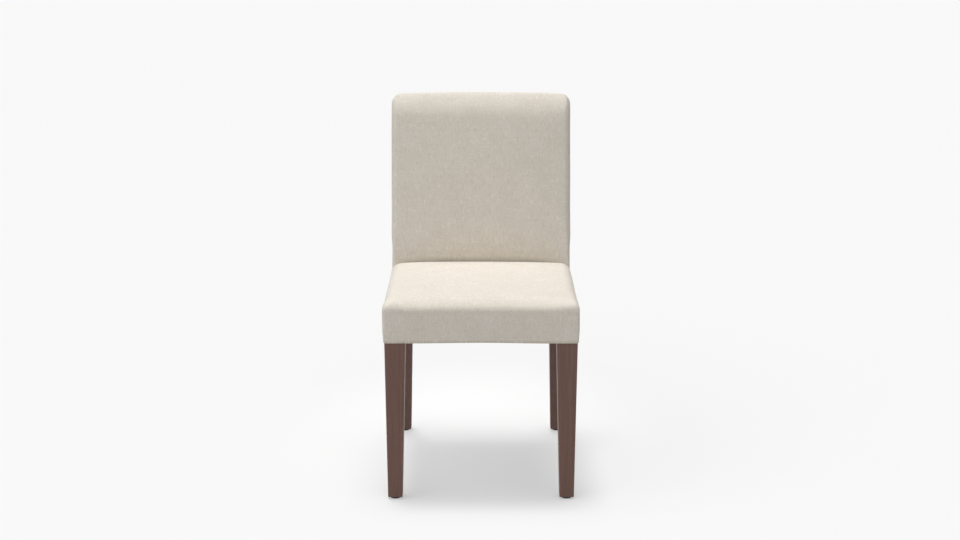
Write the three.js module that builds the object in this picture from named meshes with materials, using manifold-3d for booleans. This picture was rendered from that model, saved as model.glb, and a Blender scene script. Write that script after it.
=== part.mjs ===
// Parsons chair: an upholstered seat and back on four tapered wooden legs.
// Lengths are in millimetres, +Z is up and the chair faces -Y. The origin is on the floor, under the
// middle of the chair. Left and right are the sitter's, so left is +X.
import * as THREE from 'three';
import { mergeVertices } from 'three/addons/utils/BufferGeometryUtils.js';
import Module from 'manifold-3d';

const wasm = await Module();
wasm.setup();

// Overall sizes
const seatWidth = 460;
const seatDepth = 412; // from the front of the seat to the face of the back
const seatHeight = 485; // from the floor to the seat's top at its edge
const seatBoxHeight = 95; // the covered side of the seat, from its lower edge to its top
const chairHeight = 910;
const backRake = THREE.MathUtils.degToRad(9.3);

// Fits
const fit = 0.3; // the gap between two pieces that touch
const overrun = 10; // how far a cutter runs past what it cuts

// Upholstery layers
const coverThickness = 1.2;
const battingThickness = 5; // over the tops and faces
const sideBatting = 2.7; // over the edges of the frame
const squeezeShare = 0.8; // how much of the side batting is pressed flat at the lower edge
const backFoamThickness = 26;
const webbingThickness = 1.6;
const boardThickness = 2; // the stiffener behind the back
const seatLip = 20; // how far the seat cover turns in under the rails

// Soft edges of the seat. A crown is how far a face swells, an edge how far its rounding runs in from
// the side, and a drop how far that rounding runs down.
const seatCrown = 5;
const seatEdgeDrop = 26;
const seatFrontEdge = 26;
const seatSideEdge = 20;
const seatRearEdge = 6;
const seatCorner = 11;
const seatTopCorner = 20;
const seatFootRounding = 2;

// Soft edges of the back
const backCrown = 4;
const backEdgeDrop = 30;
const backTopEdge = 42;
const backSideEdge = 14;
const backFootEdge = 6;
const backTopCorner = 14;
const backFootCorner = 4;
const backFaceCorner = 20;
const backTopBow = 2.5; // how far the top edge swells in its middle
const backSideBow = 1.5;
const rearRounding = 6; // the rounded edges behind, which the outside back closes

// Legs and posts
const legWidth = 49;
const footWidth = 34.5;
const legOuterTaper = 4; // how far a leg's outer faces draw in from the seat to the foot
const legChamfer = 1.5;
const postDepth = 38;
const rearFootOffset = 60; // how far a rear foot's middle stands behind its post
const topPadding = 20; // from the top of the posts to the top of the back

// Rails and their tenons
const railThickness = 22;
const railHeight = 48;
const tenonThickness = 10;
const tenonLength = 20;
const tenonShoulder = 6;
const backRailHeight = 42;
const middleRailShare = 0.45; // where the middle rail stands between the lower and the top one

// Corner blocks and their screws
const blockHeight = 36;
const blockWing = 50;
const blockBlunt = 12;
const screwLength = 34;
const screwRadius = 2.1;
const screwTipLength = 5;
const screwHeadRadius = 4.2;
const screwHeadHeight = 3;
const screwGrip = 20; // the wood of the block under a screw's head

// Seat springs and their clips
const springCount = 4;
const springWidth = 50;
const springWireRadius = 1.9;
const springBars = 19;
const springRise = 5;
const springEndSetback = 14; // from a rail's outer face to the wire in its clip
const clipWidth = 12;
const clipThickness = 1.2;
const clipTail = 7; // the flat of the clip beyond the wire
const padThickness = 3; // the felt on the springs
const padMargin = 12; // how far the felt stops short of the frame's outer faces

// Back webbing
const strapCount = 4;
const strapHeight = 50;
const strapLap = 38; // how far a strap reaches over each post

// Glides and their nails
const glideRadius = 12;
const glideHeight = 6;
const glideRounding = 2;
const glideRecessRadius = 4.5;
const glideRecessDepth = 2.5;
const nailRadius = 1.4;
const nailHeadRadius = 3.6;
const nailHeadHeight = 1.2;
const nailLength = 20;

// Trim under and behind the chair
const dustCoverThickness = 0.8;
const dustCoverMargin = 12;
const dustCoverNotch = 3; // the cloth is cut this far round each leg
const tackStripHeight = 12;
const tackStripThickness = 1.6;

// Steps that round shapes are drawn with
const cornerSteps = 3;
const sideSteps = 4;
const edgeSteps = 4;
const footSteps = 2;
const wireSides = 5;
const turnSteps = 4;
const roundSides = 16;
const screwSides = 10;
const weld = 0.001; // points nearer than this are one
const leastRounding = 0.05; // a rounding is never drawn smaller

// Places that follow from the sizes
const seatUnderside = seatHeight - seatBoxHeight;
const frameInset = coverThickness + fit + sideBatting + fit;
const frameHalfWidth = seatWidth / 2 - frameInset;
const legInner = frameHalfWidth - legWidth;
const railInner = frameHalfWidth - railThickness;
const railBottom = seatUnderside + coverThickness + fit;
const railTop = railBottom + railHeight;
const frontLegRear = frameInset + legWidth;

// The back starts to lean where the seat's edge starts to round. Its layers are told as depths behind
// its face, which are the same below the bend, where it stands upright, and above it.
const bendHeight = seatHeight - seatEdgeDrop;
const backFace = seatDepth - seatEdgeDrop * Math.tan(backRake);
const battingDepth = coverThickness + fit;
const foamDepth = battingDepth + battingThickness + fit;
const webbingDepth = foamDepth + backFoamThickness + fit;
const postDepthIn = webbingDepth + webbingThickness + fit;
const boardDepth = postDepthIn + postDepth + fit;
const panelDepth = boardDepth + boardThickness + fit;
const slabDepth = panelDepth + coverThickness;
const rimDepth = panelDepth - fit; // where the covers end behind
const postFront = backFace + postDepthIn;
const postRear = postFront + postDepth;
const mitreShare = Math.tan(backRake / 2);
const backLength = (chairHeight - bendHeight + backEdgeDrop * Math.sin(backRake)) / Math.cos(backRake);
const postTop = backLength - topPadding;
const panelHead = backLength - rearRounding;
const panelHalfWidth = seatWidth / 2 - rearRounding;
const overallDepth = backFace + slabDepth * Math.cos(backRake) + panelHead * Math.sin(backRake);

// The back's own frame: its y runs in from the back's face and its z up along the back.
const backFrame = new THREE.Matrix4()
  .makeTranslation(0, backFace, bendHeight)
  .multiply(new THREE.Matrix4().makeRotationX(-backRake));

const finishes = {
  linen: { color: 0xded6c8, roughness: 0.95, metalness: 0 },
  stainedWood: { color: 0x5d4a42, roughness: 0.5, metalness: 0 },
  frameWood: { color: 0xcdb18a, roughness: 0.8, metalness: 0 },
  foam: { color: 0xe9dfae, roughness: 1, metalness: 0 },
  batting: { color: 0xf3f2ee, roughness: 1, metalness: 0 },
  felt: { color: 0x8b8a86, roughness: 1, metalness: 0 },
  webbing: { color: 0x2d2b2a, roughness: 0.9, metalness: 0 },
  board: { color: 0xb59a74, roughness: 0.9, metalness: 0 },
  cambric: { color: 0x1d1d1e, roughness: 0.95, metalness: 0 },
  nylon: { color: 0x1c1a1a, roughness: 0.45, metalness: 0 },
  springSteel: { color: 0x77797c, roughness: 0.35, metalness: 1 },
  zincSteel: { color: 0xb9b7ae, roughness: 0.4, metalness: 1 },
};

// A named mesh with a material of its own.
function piece(name, geometry, finish) {
  const mesh = new THREE.Mesh(geometry, new THREE.MeshStandardMaterial(finishes[finish]));
  mesh.name = name;
  return mesh;
}

// The solid inside a closed geometry.
function solidOf(geometry) {
  const bare = geometry.clone();
  bare.deleteAttribute('normal');
  bare.deleteAttribute('uv');
  const merged = mergeVertices(bare, weld);
  return new wasm.Manifold(
    new wasm.Mesh({
      numProp: 3,
      vertProperties: merged.getAttribute('position').array,
      triVerts: new Uint32Array(merged.index.array),
    }),
  );
}

// The geometry of a solid, with flat faces.
function geometryOf(solid) {
  const mesh = solid.getMesh();
  const geometry = new THREE.BufferGeometry();
  geometry.setAttribute('position', new THREE.BufferAttribute(mesh.vertProperties, mesh.numProp));
  geometry.setIndex(new THREE.BufferAttribute(mesh.triVerts, 1));
  const faceted = geometry.toNonIndexed();
  faceted.computeVertexNormals();
  return faceted;
}

function cut(geometry, ...cutters) {
  return geometryOf(cutters.reduce((left, cutter) => left.subtract(solidOf(cutter)), solidOf(geometry)));
}

function join(geometry, ...others) {
  return geometryOf(others.reduce((whole, other) => whole.add(solidOf(other)), solidOf(geometry)));
}

// A box between two corners.
function block(low, high) {
  const size = high.map((value, axis) => value - low[axis]);
  return new THREE.BoxGeometry(...size).translate(...low.map((value, axis) => value + size[axis] / 2));
}

// A plate whose outline is a list of [x, y] points, from one height to another.
function plate(points, bottom, top) {
  const outline = new THREE.Shape(points.map(([x, y]) => new THREE.Vector2(x, y)));
  const solid = new THREE.ExtrudeGeometry(outline, { depth: top - bottom, bevelEnabled: false });
  return solid.translate(0, 0, bottom);
}

// A bar whose section is a list of [y, z] points, from one x to another.
function barAlongX(points, start, end) {
  const turn = new THREE.Matrix4().makeBasis(
    new THREE.Vector3(0, 1, 0),
    new THREE.Vector3(0, 0, 1),
    new THREE.Vector3(1, 0, 0),
  );
  return plate(points, start, end).applyMatrix4(turn);
}

// A round bar along Z whose profile is a list of [radius, z] points.
function turned(profile, sides) {
  return new THREE.LatheGeometry(
    profile.map(([radius, z]) => new THREE.Vector2(radius, z)),
    sides,
  ).rotateX(Math.PI / 2);
}

// A closed skin through rings of points, with a fan over each end.
function loft(rings) {
  const middle = (ring) =>
    ring.reduce((sum, point) => sum.add(point), new THREE.Vector3()).divideScalar(ring.length);
  const points = [...rings.flat(), middle(rings[0]), middle(rings.at(-1))];
  const count = rings[0].length;
  const faces = [];
  for (let i = 0; i < count; i++) {
    const next = (i + 1) % count;
    faces.push(points.length - 2, next, i);
    for (let row = 0; row < rings.length - 1; row++) {
      const low = row * count;
      const high = low + count;
      faces.push(low + i, low + next, high + next);
      faces.push(low + i, high + next, high + i);
    }
    const last = (rings.length - 1) * count;
    faces.push(points.length - 1, last + i, last + next);
  }
  const geometry = new THREE.BufferGeometry().setFromPoints(points);
  geometry.setIndex(faces);
  return geometry.toNonIndexed();
}

// The ring of a chamfered rectangle; slope leans it so that its far side is that much lower.
function chamferedRing(left, right, near, far, z, slope = 0) {
  const c = legChamfer;
  const corners = [
    [left + c, near],
    [right - c, near],
    [right, near + c],
    [right, far - c],
    [right - c, far],
    [left + c, far],
    [left, far - c],
    [left, near + c],
  ];
  return corners.map(([x, y]) => new THREE.Vector3(x, y, z - (y - near) * slope));
}

// A level ring round a rectangle with round corners. Its sides swell outwards by their bows, and stay
// within the rectangle.
function roundedRing({ left, right, near, far, bow }, nearRadius, farRadius, z) {
  const corners = [
    [right - bow.side - nearRadius, near + bow.near + nearRadius, nearRadius, -Math.PI / 2],
    [right - bow.side - farRadius, far - bow.far - farRadius, farRadius, 0],
    [left + bow.side + farRadius, far - bow.far - farRadius, farRadius, Math.PI / 2],
    [left + bow.side + nearRadius, near + bow.near + nearRadius, nearRadius, Math.PI],
  ];
  const arcs = corners.map(([x, y, radius, start]) =>
    Array.from({ length: cornerSteps + 1 }, (_, step) => {
      const angle = start + (Math.PI / 2) * (step / cornerSteps);
      return new THREE.Vector3(x + radius * Math.cos(angle), y + radius * Math.sin(angle), z);
    }),
  );
  const swells = [
    new THREE.Vector3(bow.side, 0, 0),
    new THREE.Vector3(0, bow.far, 0),
    new THREE.Vector3(-bow.side, 0, 0),
    new THREE.Vector3(0, -bow.near, 0),
  ];
  return arcs.flatMap((arc, i) => {
    const from = arc.at(-1);
    const to = arcs[(i + 1) % arcs.length][0];
    const between = Array.from({ length: sideSteps - 1 }, (_, step) => {
      const share = (step + 1) / sideSteps;
      return from.clone().lerp(to, share).addScaledVector(swells[i], Math.sin(Math.PI * share));
    });
    return [...arc, ...between];
  });
}

// An upholstered form on a flat base. From its base up it has a small rounding, walls that are drawn in
// towards the base, a large rounding all round and a crowned top. Its outline is left, right, near and far.
const wallShares = [0.15, 0.4];
const drawShares = [0.35, 0];
const crownShares = [0.75, 0.4];
function softForm(form) {
  const { base, top, corner, topCorner, edge, drop, crown, foot, draw } = form;
  const wallFoot = base + foot;
  const wallTop = top - drop;
  const ring = (inset, reach, z) => {
    const outline = {
      ...form,
      left: form.left + inset.side,
      right: form.right - inset.side,
      near: form.near + inset.near,
      far: form.far - inset.far,
    };
    const nearRadius = corner.near + (topCorner - corner.near) * reach;
    const farRadius = corner.far + (topCorner - corner.far) * reach;
    return roundedRing(outline, nearRadius, farRadius, z);
  };
  const feet = Array.from({ length: footSteps + 1 }, (_, step) => {
    const angle = (Math.PI / 2) * (step / footSteps);
    const inset = foot * (1 - Math.sin(angle));
    const outline = { side: draw + inset, near: draw + inset, far: inset };
    return ring(outline, 0, base + foot * (1 - Math.cos(angle)));
  });
  const walls = wallShares.map((share, i) => {
    const pull = draw * drawShares[i];
    return ring({ side: pull, near: pull, far: 0 }, 0, wallFoot + (wallTop - wallFoot) * share);
  });
  const edges = Array.from({ length: edgeSteps + 1 }, (_, step) => {
    const angle = (Math.PI / 2) * (step / edgeSteps);
    const reach = 1 - Math.cos(angle);
    const inset = { side: edge.side * reach, near: edge.near * reach, far: edge.far * reach };
    return ring(inset, reach, wallTop + drop * Math.sin(angle));
  });
  const rim = edges.at(-1);
  const centre = new THREE.Vector3((form.left + form.right) / 2, (form.near + form.far) / 2, top);
  const crowns = crownShares.map((share) =>
    rim.map((point) => {
      const inner = point.clone().lerp(centre, 1 - share);
      inner.z = top + crown * (1 - share * share);
      return inner;
    }),
  );
  return loft([...feet, ...walls, ...edges, ...crowns]);
}

// The same form with its walls and base moved in by one distance and its top by another.
function shrunk(form, by, topBy = by) {
  const rounding = (radius, less) => Math.max(radius - less, leastRounding);
  return {
    ...form,
    left: form.left + by,
    right: form.right - by,
    near: form.near + by,
    far: form.far - by,
    base: form.base + by,
    top: form.top - topBy,
    corner: { near: rounding(form.corner.near, by), far: rounding(form.corner.far, by) },
    edge: {
      side: rounding(form.edge.side, by),
      near: rounding(form.edge.near, by),
      far: rounding(form.edge.far, by),
    },
    drop: rounding(form.drop, topBy),
    foot: rounding(form.foot, by),
  };
}

// Turns a form that lies on its base so that it stands upright as the back, with its top facing forward.
function asBack(form) {
  return softForm(form).rotateX(Math.PI / 2).translate(0, slabDepth, 0);
}

// Rails with a tenon at each end, lying along X with their face at y = 0 and their foot at z = 0.
function railGeometry(length, height) {
  const half = length / 2;
  const tenonNear = (railThickness - tenonThickness) / 2;
  return join(
    block([-half, 0, 0], [half, railThickness, height]),
    block(
      [-half - tenonLength, tenonNear, tenonShoulder],
      [half + tenonLength, tenonNear + tenonThickness, height - tenonShoulder],
    ),
  );
}

// The space that a rail's tenons need, with the gap round them.
function tenonSpace(length, height) {
  const reach = length / 2 + tenonLength + fit;
  const tenonNear = (railThickness - tenonThickness) / 2;
  return block(
    [-reach, tenonNear - fit, tenonShoulder - fit],
    [reach, tenonNear + tenonThickness + fit, height - tenonShoulder + fit],
  );
}

const crossRailLength = 2 * (legInner - fit);
const sideRailLength = postFront - frontLegRear - 2 * fit;
const sideRailMiddle = (postFront + frontLegRear) / 2;

// Where each rail lies: a matrix from a rail's own frame to the chair's.
const railPlaces = {
  front: new THREE.Matrix4().makeTranslation(0, frameInset, railBottom),
  rear: new THREE.Matrix4().makeTranslation(0, postRear - railThickness, railBottom),
  side: new THREE.Matrix4()
    .makeTranslation(frameHalfWidth, sideRailMiddle, railBottom)
    .multiply(new THREE.Matrix4().makeRotationZ(Math.PI / 2)),
};

// Heights up the back at which its rails stand, in the back's own frame.
const lowerRailFoot = seatEdgeDrop + backRailHeight / 2;
const upperRailFoot = postTop - backRailHeight - legChamfer;
const middleRailFoot = lowerRailFoot + (upperRailFoot - lowerRailFoot) * middleRailShare;
const backRailFeet = { lower: lowerRailFoot, middle: middleRailFoot, top: upperRailFoot };

function backRailPlace(foot) {
  return backFrame.clone().multiply(new THREE.Matrix4().makeTranslation(0, postDepthIn, foot));
}

// Feet: the middle of each leg's foot, on the sitter's left.
const footX = frameHalfWidth - legOuterTaper - footWidth / 2;
const frontFootY = frameInset + legOuterTaper + footWidth / 2;
const rearFootY = (postFront + postRear) / 2 + rearFootOffset;

function nailHole(y) {
  return turned(
    [
      [0, glideHeight - overrun],
      [nailRadius + fit, glideHeight - overrun],
      [nailRadius + fit, nailLength + fit + glideRecessDepth],
      [0, nailLength + fit + glideRecessDepth],
    ],
    screwSides,
  ).translate(footX, y, 0);
}

function footRing(y) {
  const half = footWidth / 2;
  return chamferedRing(footX - half, footX + half, y - half, y + half, glideHeight);
}

function frontLegGeometry() {
  const body = loft([
    footRing(frontFootY),
    chamferedRing(legInner, frameHalfWidth, frameInset, frontLegRear, seatUnderside),
    chamferedRing(legInner, frameHalfWidth, frameInset, frontLegRear, railTop),
  ]);
  return cut(
    body,
    tenonSpace(crossRailLength, railHeight).applyMatrix4(railPlaces.front),
    tenonSpace(sideRailLength, railHeight).applyMatrix4(railPlaces.side),
    nailHole(frontFootY),
  );
}

function rearLegGeometry() {
  const mitreFront = bendHeight - postDepthIn * mitreShare;
  const topRing = chamferedRing(legInner, frameHalfWidth, postDepthIn, postDepthIn + postDepth, postTop);
  const body = loft([
    footRing(rearFootY),
    chamferedRing(legInner, frameHalfWidth, postFront, postRear, seatUnderside),
    chamferedRing(legInner, frameHalfWidth, postFront, postRear, mitreFront, mitreShare),
    topRing.map((point) => point.applyMatrix4(backFrame)),
  ]);
  return cut(
    body,
    tenonSpace(crossRailLength, railHeight).applyMatrix4(railPlaces.rear),
    tenonSpace(sideRailLength, railHeight).applyMatrix4(railPlaces.side),
    ...Object.values(backRailFeet).map((foot) =>
      tenonSpace(crossRailLength, backRailHeight).applyMatrix4(backRailPlace(foot)),
    ),
    nailHole(rearFootY),
  );
}

// Corner blocks. A block is drawn from the leg's inner corner: x towards the side rail and y towards
// the front or rear rail, each as deep as the leg stands proud of that rail.
const sideStep = railInner - legInner;
const blockBottom = railBottom + (railHeight - blockHeight) / 2;
const blockMiddle = blockBottom + blockHeight / 2;
const screwReach = (blockWing + fit) / 2; // from the leg's corner to each screw, along the wings
const corners = {
  front: { y: frontLegRear, towards: -1, step: frontLegRear - frameInset - railThickness },
  rear: { y: postFront, towards: 1, step: postRear - railThickness - postFront },
};

// The two screws of a corner: one into the front or rear rail, and one into the side rail.
function screwPlaces({ y, towards, step }) {
  const intoEndRail = new THREE.Matrix4()
    .makeTranslation(legInner - screwReach, y + towards * (step - fit - screwGrip), blockMiddle)
    .multiply(new THREE.Matrix4().makeRotationX((-towards * Math.PI) / 2));
  const intoSideRail = new THREE.Matrix4()
    .makeTranslation(railInner - fit - screwGrip, y - towards * screwReach, blockMiddle)
    .multiply(new THREE.Matrix4().makeRotationY(Math.PI / 2));
  return { end: intoEndRail, side: intoSideRail };
}

// A wood screw along +Z with its head's seat at z = 0.
function screwGeometry() {
  return turned(
    [
      [0, -screwHeadHeight],
      [screwHeadRadius, -screwHeadHeight],
      [screwHeadRadius, 0],
      [screwRadius, 0],
      [screwRadius, screwLength - screwTipLength],
      [0, screwLength],
    ],
    screwSides,
  );
}

// The space for a screw: a hole for the shank and a wide bore behind the head.
function screwSpace() {
  return turned(
    [
      [0, -blockWing - overrun],
      [screwHeadRadius + fit, -blockWing - overrun],
      [screwHeadRadius + fit, fit],
      [screwRadius + fit, fit],
      [screwRadius + fit, screwLength + fit],
      [0, screwLength + fit],
    ],
    screwSides,
  );
}

function cornerBlockGeometry(corner) {
  const { y, towards, step } = corner;
  const outline = [
    [-fit, step - fit],
    [-blockWing, step - fit],
    [-blockWing, step - fit - blockBlunt],
    [sideStep - fit - blockBlunt, -blockWing],
    [sideStep - fit, -blockWing],
    [sideStep - fit, -fit],
    [-fit, -fit],
  ].map(([x, along]) => [legInner + x, y + towards * along]);
  const screws = Object.values(screwPlaces(corner));
  return cut(
    plate(outline, blockBottom, blockBottom + blockHeight),
    ...screws.map((place) => screwSpace().applyMatrix4(place)),
  );
}

function endRailGeometry(corner, place) {
  const leftBore = screwSpace().applyMatrix4(screwPlaces(corner).end);
  const rightBore = leftBore.clone().translate(-2 * (legInner - screwReach), 0, 0);
  return cut(railGeometry(crossRailLength, railHeight).applyMatrix4(place), leftBore, rightBore);
}

function sideRailGeometry() {
  return cut(
    railGeometry(sideRailLength, railHeight).applyMatrix4(railPlaces.side),
    ...Object.values(corners).map((corner) => screwSpace().applyMatrix4(screwPlaces(corner).side)),
  );
}

// Springs run from front to rear and their end bars lie in clips on the rails.
const wireHeight = railTop + fit + clipThickness + fit + springWireRadius;
const springFront = frameInset + springEndSetback;
const springRear = postRear - springEndSetback;
const springPitch = (springRear - springFront) / (springBars - 1);
const springSpacing = (2 * legInner) / springCount;
const clipHeight = 2 * (clipThickness + fit + springWireRadius);

// A ring of wire round a point, square to the direction it runs in.
function wireRing(point, direction) {
  const across = new THREE.Vector3(-direction.y, direction.x, 0).normalize();
  return Array.from({ length: wireSides }, (_, i) => {
    const angle = (2 * Math.PI * i) / wireSides;
    return point
      .clone()
      .addScaledVector(across, springWireRadius * Math.cos(angle))
      .add(new THREE.Vector3(0, 0, springWireRadius * Math.sin(angle)));
  });
}

const wireInClip = clipTail + fit + springWireRadius; // from the clip's tail to the wire's middle

// How far the springs rise above their ends.
function springArch(y) {
  return springRise * Math.sin((Math.PI * (y - springFront)) / (springRear - springFront));
}

function springGeometry() {
  const turnRadius = springPitch / 2;
  const barHalf = springWidth / 2 - turnRadius;
  const rings = [];
  const start = new THREE.Vector3(-barHalf, springFront, 0);
  const lastSide = springBars % 2 ? 1 : -1;
  const end = new THREE.Vector3(lastSide * barHalf, springRear, 0);
  for (let bar = 0; bar < springBars - 1; bar++) {
    const y = springFront + bar * springPitch;
    const side = bar % 2 ? -1 : 1;
    for (let step = 0; step <= turnSteps; step++) {
      const angle = Math.PI * (step / turnSteps) - Math.PI / 2;
      const across = side * (barHalf + turnRadius * Math.cos(angle));
      const along = y + turnRadius * (1 + Math.sin(angle));
      const direction = new THREE.Vector3(-side * Math.sin(angle), Math.cos(angle), 0);
      rings.push(wireRing(new THREE.Vector3(across, along, springArch(along)), direction));
    }
  }
  const startWay = new THREE.Vector3(1, 0, 0);
  const endWay = new THREE.Vector3(lastSide, 0, 0);
  return loft([wireRing(start, startWay), ...rings, wireRing(end, endWay)]);
}

// A clip hooks over a spring's end bar. Its section runs from its tail at y = 0 towards the seat's middle.
function clipGeometry() {
  const hookReach = clipThickness + 2 * (springWireRadius + fit);
  const length = clipTail + hookReach;
  const inside = length - clipThickness;
  return barAlongX(
    [
      [0, 0],
      [length, 0],
      [length, clipHeight],
      [length - hookReach, clipHeight],
      [length - hookReach, clipHeight - clipThickness],
      [inside, clipHeight - clipThickness],
      [inside, clipThickness],
      [0, clipThickness],
    ],
    -clipWidth / 2,
    clipWidth / 2,
  );
}

function springsAndClips() {
  const group = new THREE.Group();
  for (let i = 0; i < springCount; i++) {
    const x = (i - (springCount - 1) / 2) * springSpacing;
    const number = i + 1;
    const spring = piece(`seat_spring_${number}`, springGeometry(), 'springSteel');
    spring.position.set(x, 0, wireHeight);
    const frontClip = piece(`front_spring_clip_${number}`, clipGeometry(), 'zincSteel');
    frontClip.position.set(x, springFront - wireInClip, railTop + fit);
    const rearClip = piece(`rear_spring_clip_${number}`, clipGeometry(), 'zincSteel');
    rearClip.position.set(x, springRear + wireInClip, railTop + fit);
    rearClip.rotation.z = Math.PI;
    group.add(spring, frontClip, rearClip);
  }
  return group;
}

// Felt over the springs, cut clear of the rear posts.
const padBottom = wireHeight + springRise + springWireRadius + fit;
const padTop = padBottom + padThickness;
function springPadGeometry() {
  const half = frameHalfWidth - padMargin;
  const near = frameInset + padMargin;
  const far = postRear - padMargin;
  const postReach = legInner - fit;
  const outline = [
    [-half, near],
    [half, near],
    [half, postFront - fit],
    [postReach, postFront - fit],
    [postReach, far],
    [-postReach, far],
    [-postReach, postFront - fit],
    [-half, postFront - fit],
  ];
  return plate(outline, padBottom, padTop);
}

// The outer form of the seat, and of the back as it lies on its rear face.
const seatForm = {
  left: -seatWidth / 2,
  right: seatWidth / 2,
  near: 0,
  far: backFace + rimDepth,
  base: seatUnderside,
  top: seatHeight,
  corner: { near: seatCorner, far: rearRounding },
  topCorner: seatTopCorner,
  edge: { side: seatSideEdge, near: seatFrontEdge, far: seatRearEdge },
  drop: seatEdgeDrop,
  crown: seatCrown,
  foot: seatFootRounding,
  draw: sideBatting * squeezeShare,
  bow: { side: 0, near: 0, far: 0 },
};
const backForm = {
  left: -seatWidth / 2,
  right: seatWidth / 2,
  near: 0,
  far: backLength,
  base: slabDepth - rimDepth,
  top: slabDepth,
  corner: { near: backFootCorner, far: backTopCorner },
  topCorner: backFaceCorner,
  edge: { side: backSideEdge, near: backFootEdge, far: backTopEdge },
  drop: backEdgeDrop,
  crown: backCrown,
  foot: rearRounding,
  draw: 0,
  bow: { side: backSideBow, near: 0, far: backTopBow },
};

// A column with chamfered edges, which the frame's pieces fit in.
function framePrism(half, near, far, bottom, top) {
  return loft([
    chamferedRing(-half, half, near, far, bottom),
    chamferedRing(-half, half, near, far, top),
  ]);
}

// The room that the whole back takes, which the seat's layers are cut clear of.
function backRoom() {
  const around = asBack({ ...shrunk(backForm, -fit), base: -overrun });
  const half = seatWidth / 2;
  const beside = block(
    [-half - overrun, backEdgeDrop / 2, -fit],
    [half + overrun, slabDepth + overrun, postTop],
  );
  return join(around, beside).applyMatrix4(backFrame);
}

// The room that the legs take up to the top of the rails, a gap larger all round.
function legRoom(near, far) {
  const left = block(
    [legInner - fit, near - fit, seatUnderside - overrun],
    [frameHalfWidth + fit, far + fit, railTop],
  );
  const right = left.clone().translate(-legInner - frameHalfWidth, 0, 0);
  return [left, right];
}

function seatCoverGeometry() {
  const half = seatWidth / 2;
  const beneath = block(
    [-half + seatLip, seatLip, seatUnderside - overrun],
    [half - seatLip, postRear + overrun, seatUnderside + overrun],
  );
  const behind = block(
    [-panelHalfWidth, postFront, seatUnderside - overrun],
    [panelHalfWidth, postRear + overrun, seatHeight + overrun],
  );
  return cut(
    softForm(seatForm),
    softForm(shrunk(seatForm, coverThickness)),
    beneath,
    behind,
    backRoom(),
    ...legRoom(frameInset, frontLegRear),
    ...legRoom(postFront, postRear + overrun),
  );
}

// The room of the seat's frame under its batting.
function seatFrameRoom() {
  return framePrism(frameHalfWidth + fit, frameInset - fit, postRear + overrun, seatUnderside, railTop + fit);
}

function seatBattingGeometry() {
  const inner = shrunk(seatForm, frameInset - fit, battingDepth + battingThickness);
  const behind = block(
    [-seatWidth, postRear - rearRounding, seatUnderside - overrun],
    [seatWidth, postRear + overrun, seatHeight + overrun],
  );
  return cut(
    softForm(shrunk(seatForm, battingDepth)),
    softForm({ ...inner, base: seatUnderside, draw: 0 }),
    seatFrameRoom(),
    behind,
    backRoom(),
  );
}

// The foam rests on the felt and, with a rim, on the rails. It ends in front of the posts.
function seatFoamGeometry() {
  const form = shrunk(seatForm, frameInset, foamDepth);
  const pocketHalf = frameHalfWidth - padMargin + fit;
  const pocket = block(
    [-pocketHalf, springFront - wireInClip - fit, railTop - overrun],
    [pocketHalf, postRear, padTop + fit],
  );
  const behind = block(
    [-seatWidth, postFront - fit, railTop - overrun],
    [seatWidth, postRear + overrun, seatHeight + overrun],
  );
  return cut(softForm({ ...form, base: railTop + fit, draw: 0 }), pocket, behind, backRoom());
}

// The cover's foot is open behind the foam, so that the posts pass through, and so is its rear face.
function backCoverGeometry() {
  const inner = asBack(shrunk(backForm, coverThickness));
  const bend = slabDepth * mitreShare;
  const foot = framePrism(frameHalfWidth + fit, webbingDepth, slabDepth + overrun, -overrun, bend);
  const behind = block(
    [-panelHalfWidth, postDepthIn, -overrun],
    [panelHalfWidth, slabDepth + overrun, panelHead],
  );
  return cut(asBack(backForm), inner, foot, behind);
}

// The room of the back's frame and webbing.
function backFrameRoom(front) {
  return framePrism(frameHalfWidth + fit, front, slabDepth + overrun, -overrun, postTop + fit);
}

function backBattingGeometry() {
  const inner = shrunk(backForm, frameInset - fit, battingDepth + battingThickness);
  const behind = block([-seatWidth, boardDepth, -overrun], [seatWidth, slabDepth + overrun, backLength]);
  return cut(
    asBack(shrunk(backForm, battingDepth)),
    asBack({ ...inner, base: -overrun }),
    backFrameRoom(webbingDepth - fit),
    behind,
  );
}

// The foam lies in front of the webbing and folds over the top of the posts.
function backFoamGeometry() {
  return cut(asBack(shrunk(backForm, frameInset, foamDepth)), backFrameRoom(webbingDepth - fit));
}

function strapGeometry() {
  const half = legInner + strapLap;
  return block([-half, webbingDepth, 0], [half, webbingDepth + webbingThickness, strapHeight]);
}

// A skin behind the posts, from one height to the top, bent where the posts bend.
function rearSkin(depth, thickness, halfWidth, foot, head) {
  const near = backFace + depth;
  const far = near + thickness;
  const bend = (y) => bendHeight - (y - backFace) * mitreShare;
  const upper = [
    [depth + thickness, head],
    [depth, head],
  ].map(([y, z]) => {
    const point = new THREE.Vector3(0, y, z).applyMatrix4(backFrame);
    return [point.y, point.z];
  });
  return barAlongX(
    [[near, foot], [far, foot], [far, bend(far)], ...upper, [near, bend(near)]],
    -halfWidth,
    halfWidth,
  );
}

function dustCoverGeometry() {
  const half = seatWidth / 2 - dustCoverMargin;
  const top = seatUnderside - fit;
  const sheet = block(
    [-half, dustCoverMargin, top - dustCoverThickness],
    [half, backFace + slabDepth - dustCoverMargin, top],
  );
  const notch = (near, far) => {
    const left = block(
      [legInner - dustCoverNotch, near, top - overrun],
      [seatWidth, far, top + overrun],
    );
    return [left, left.clone().translate(-legInner + dustCoverNotch - seatWidth, 0, 0)];
  };
  return cut(
    sheet,
    ...notch(-overrun, frontLegRear + dustCoverNotch),
    ...notch(postFront - dustCoverNotch, postRear + dustCoverMargin + overrun),
  );
}

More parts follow.
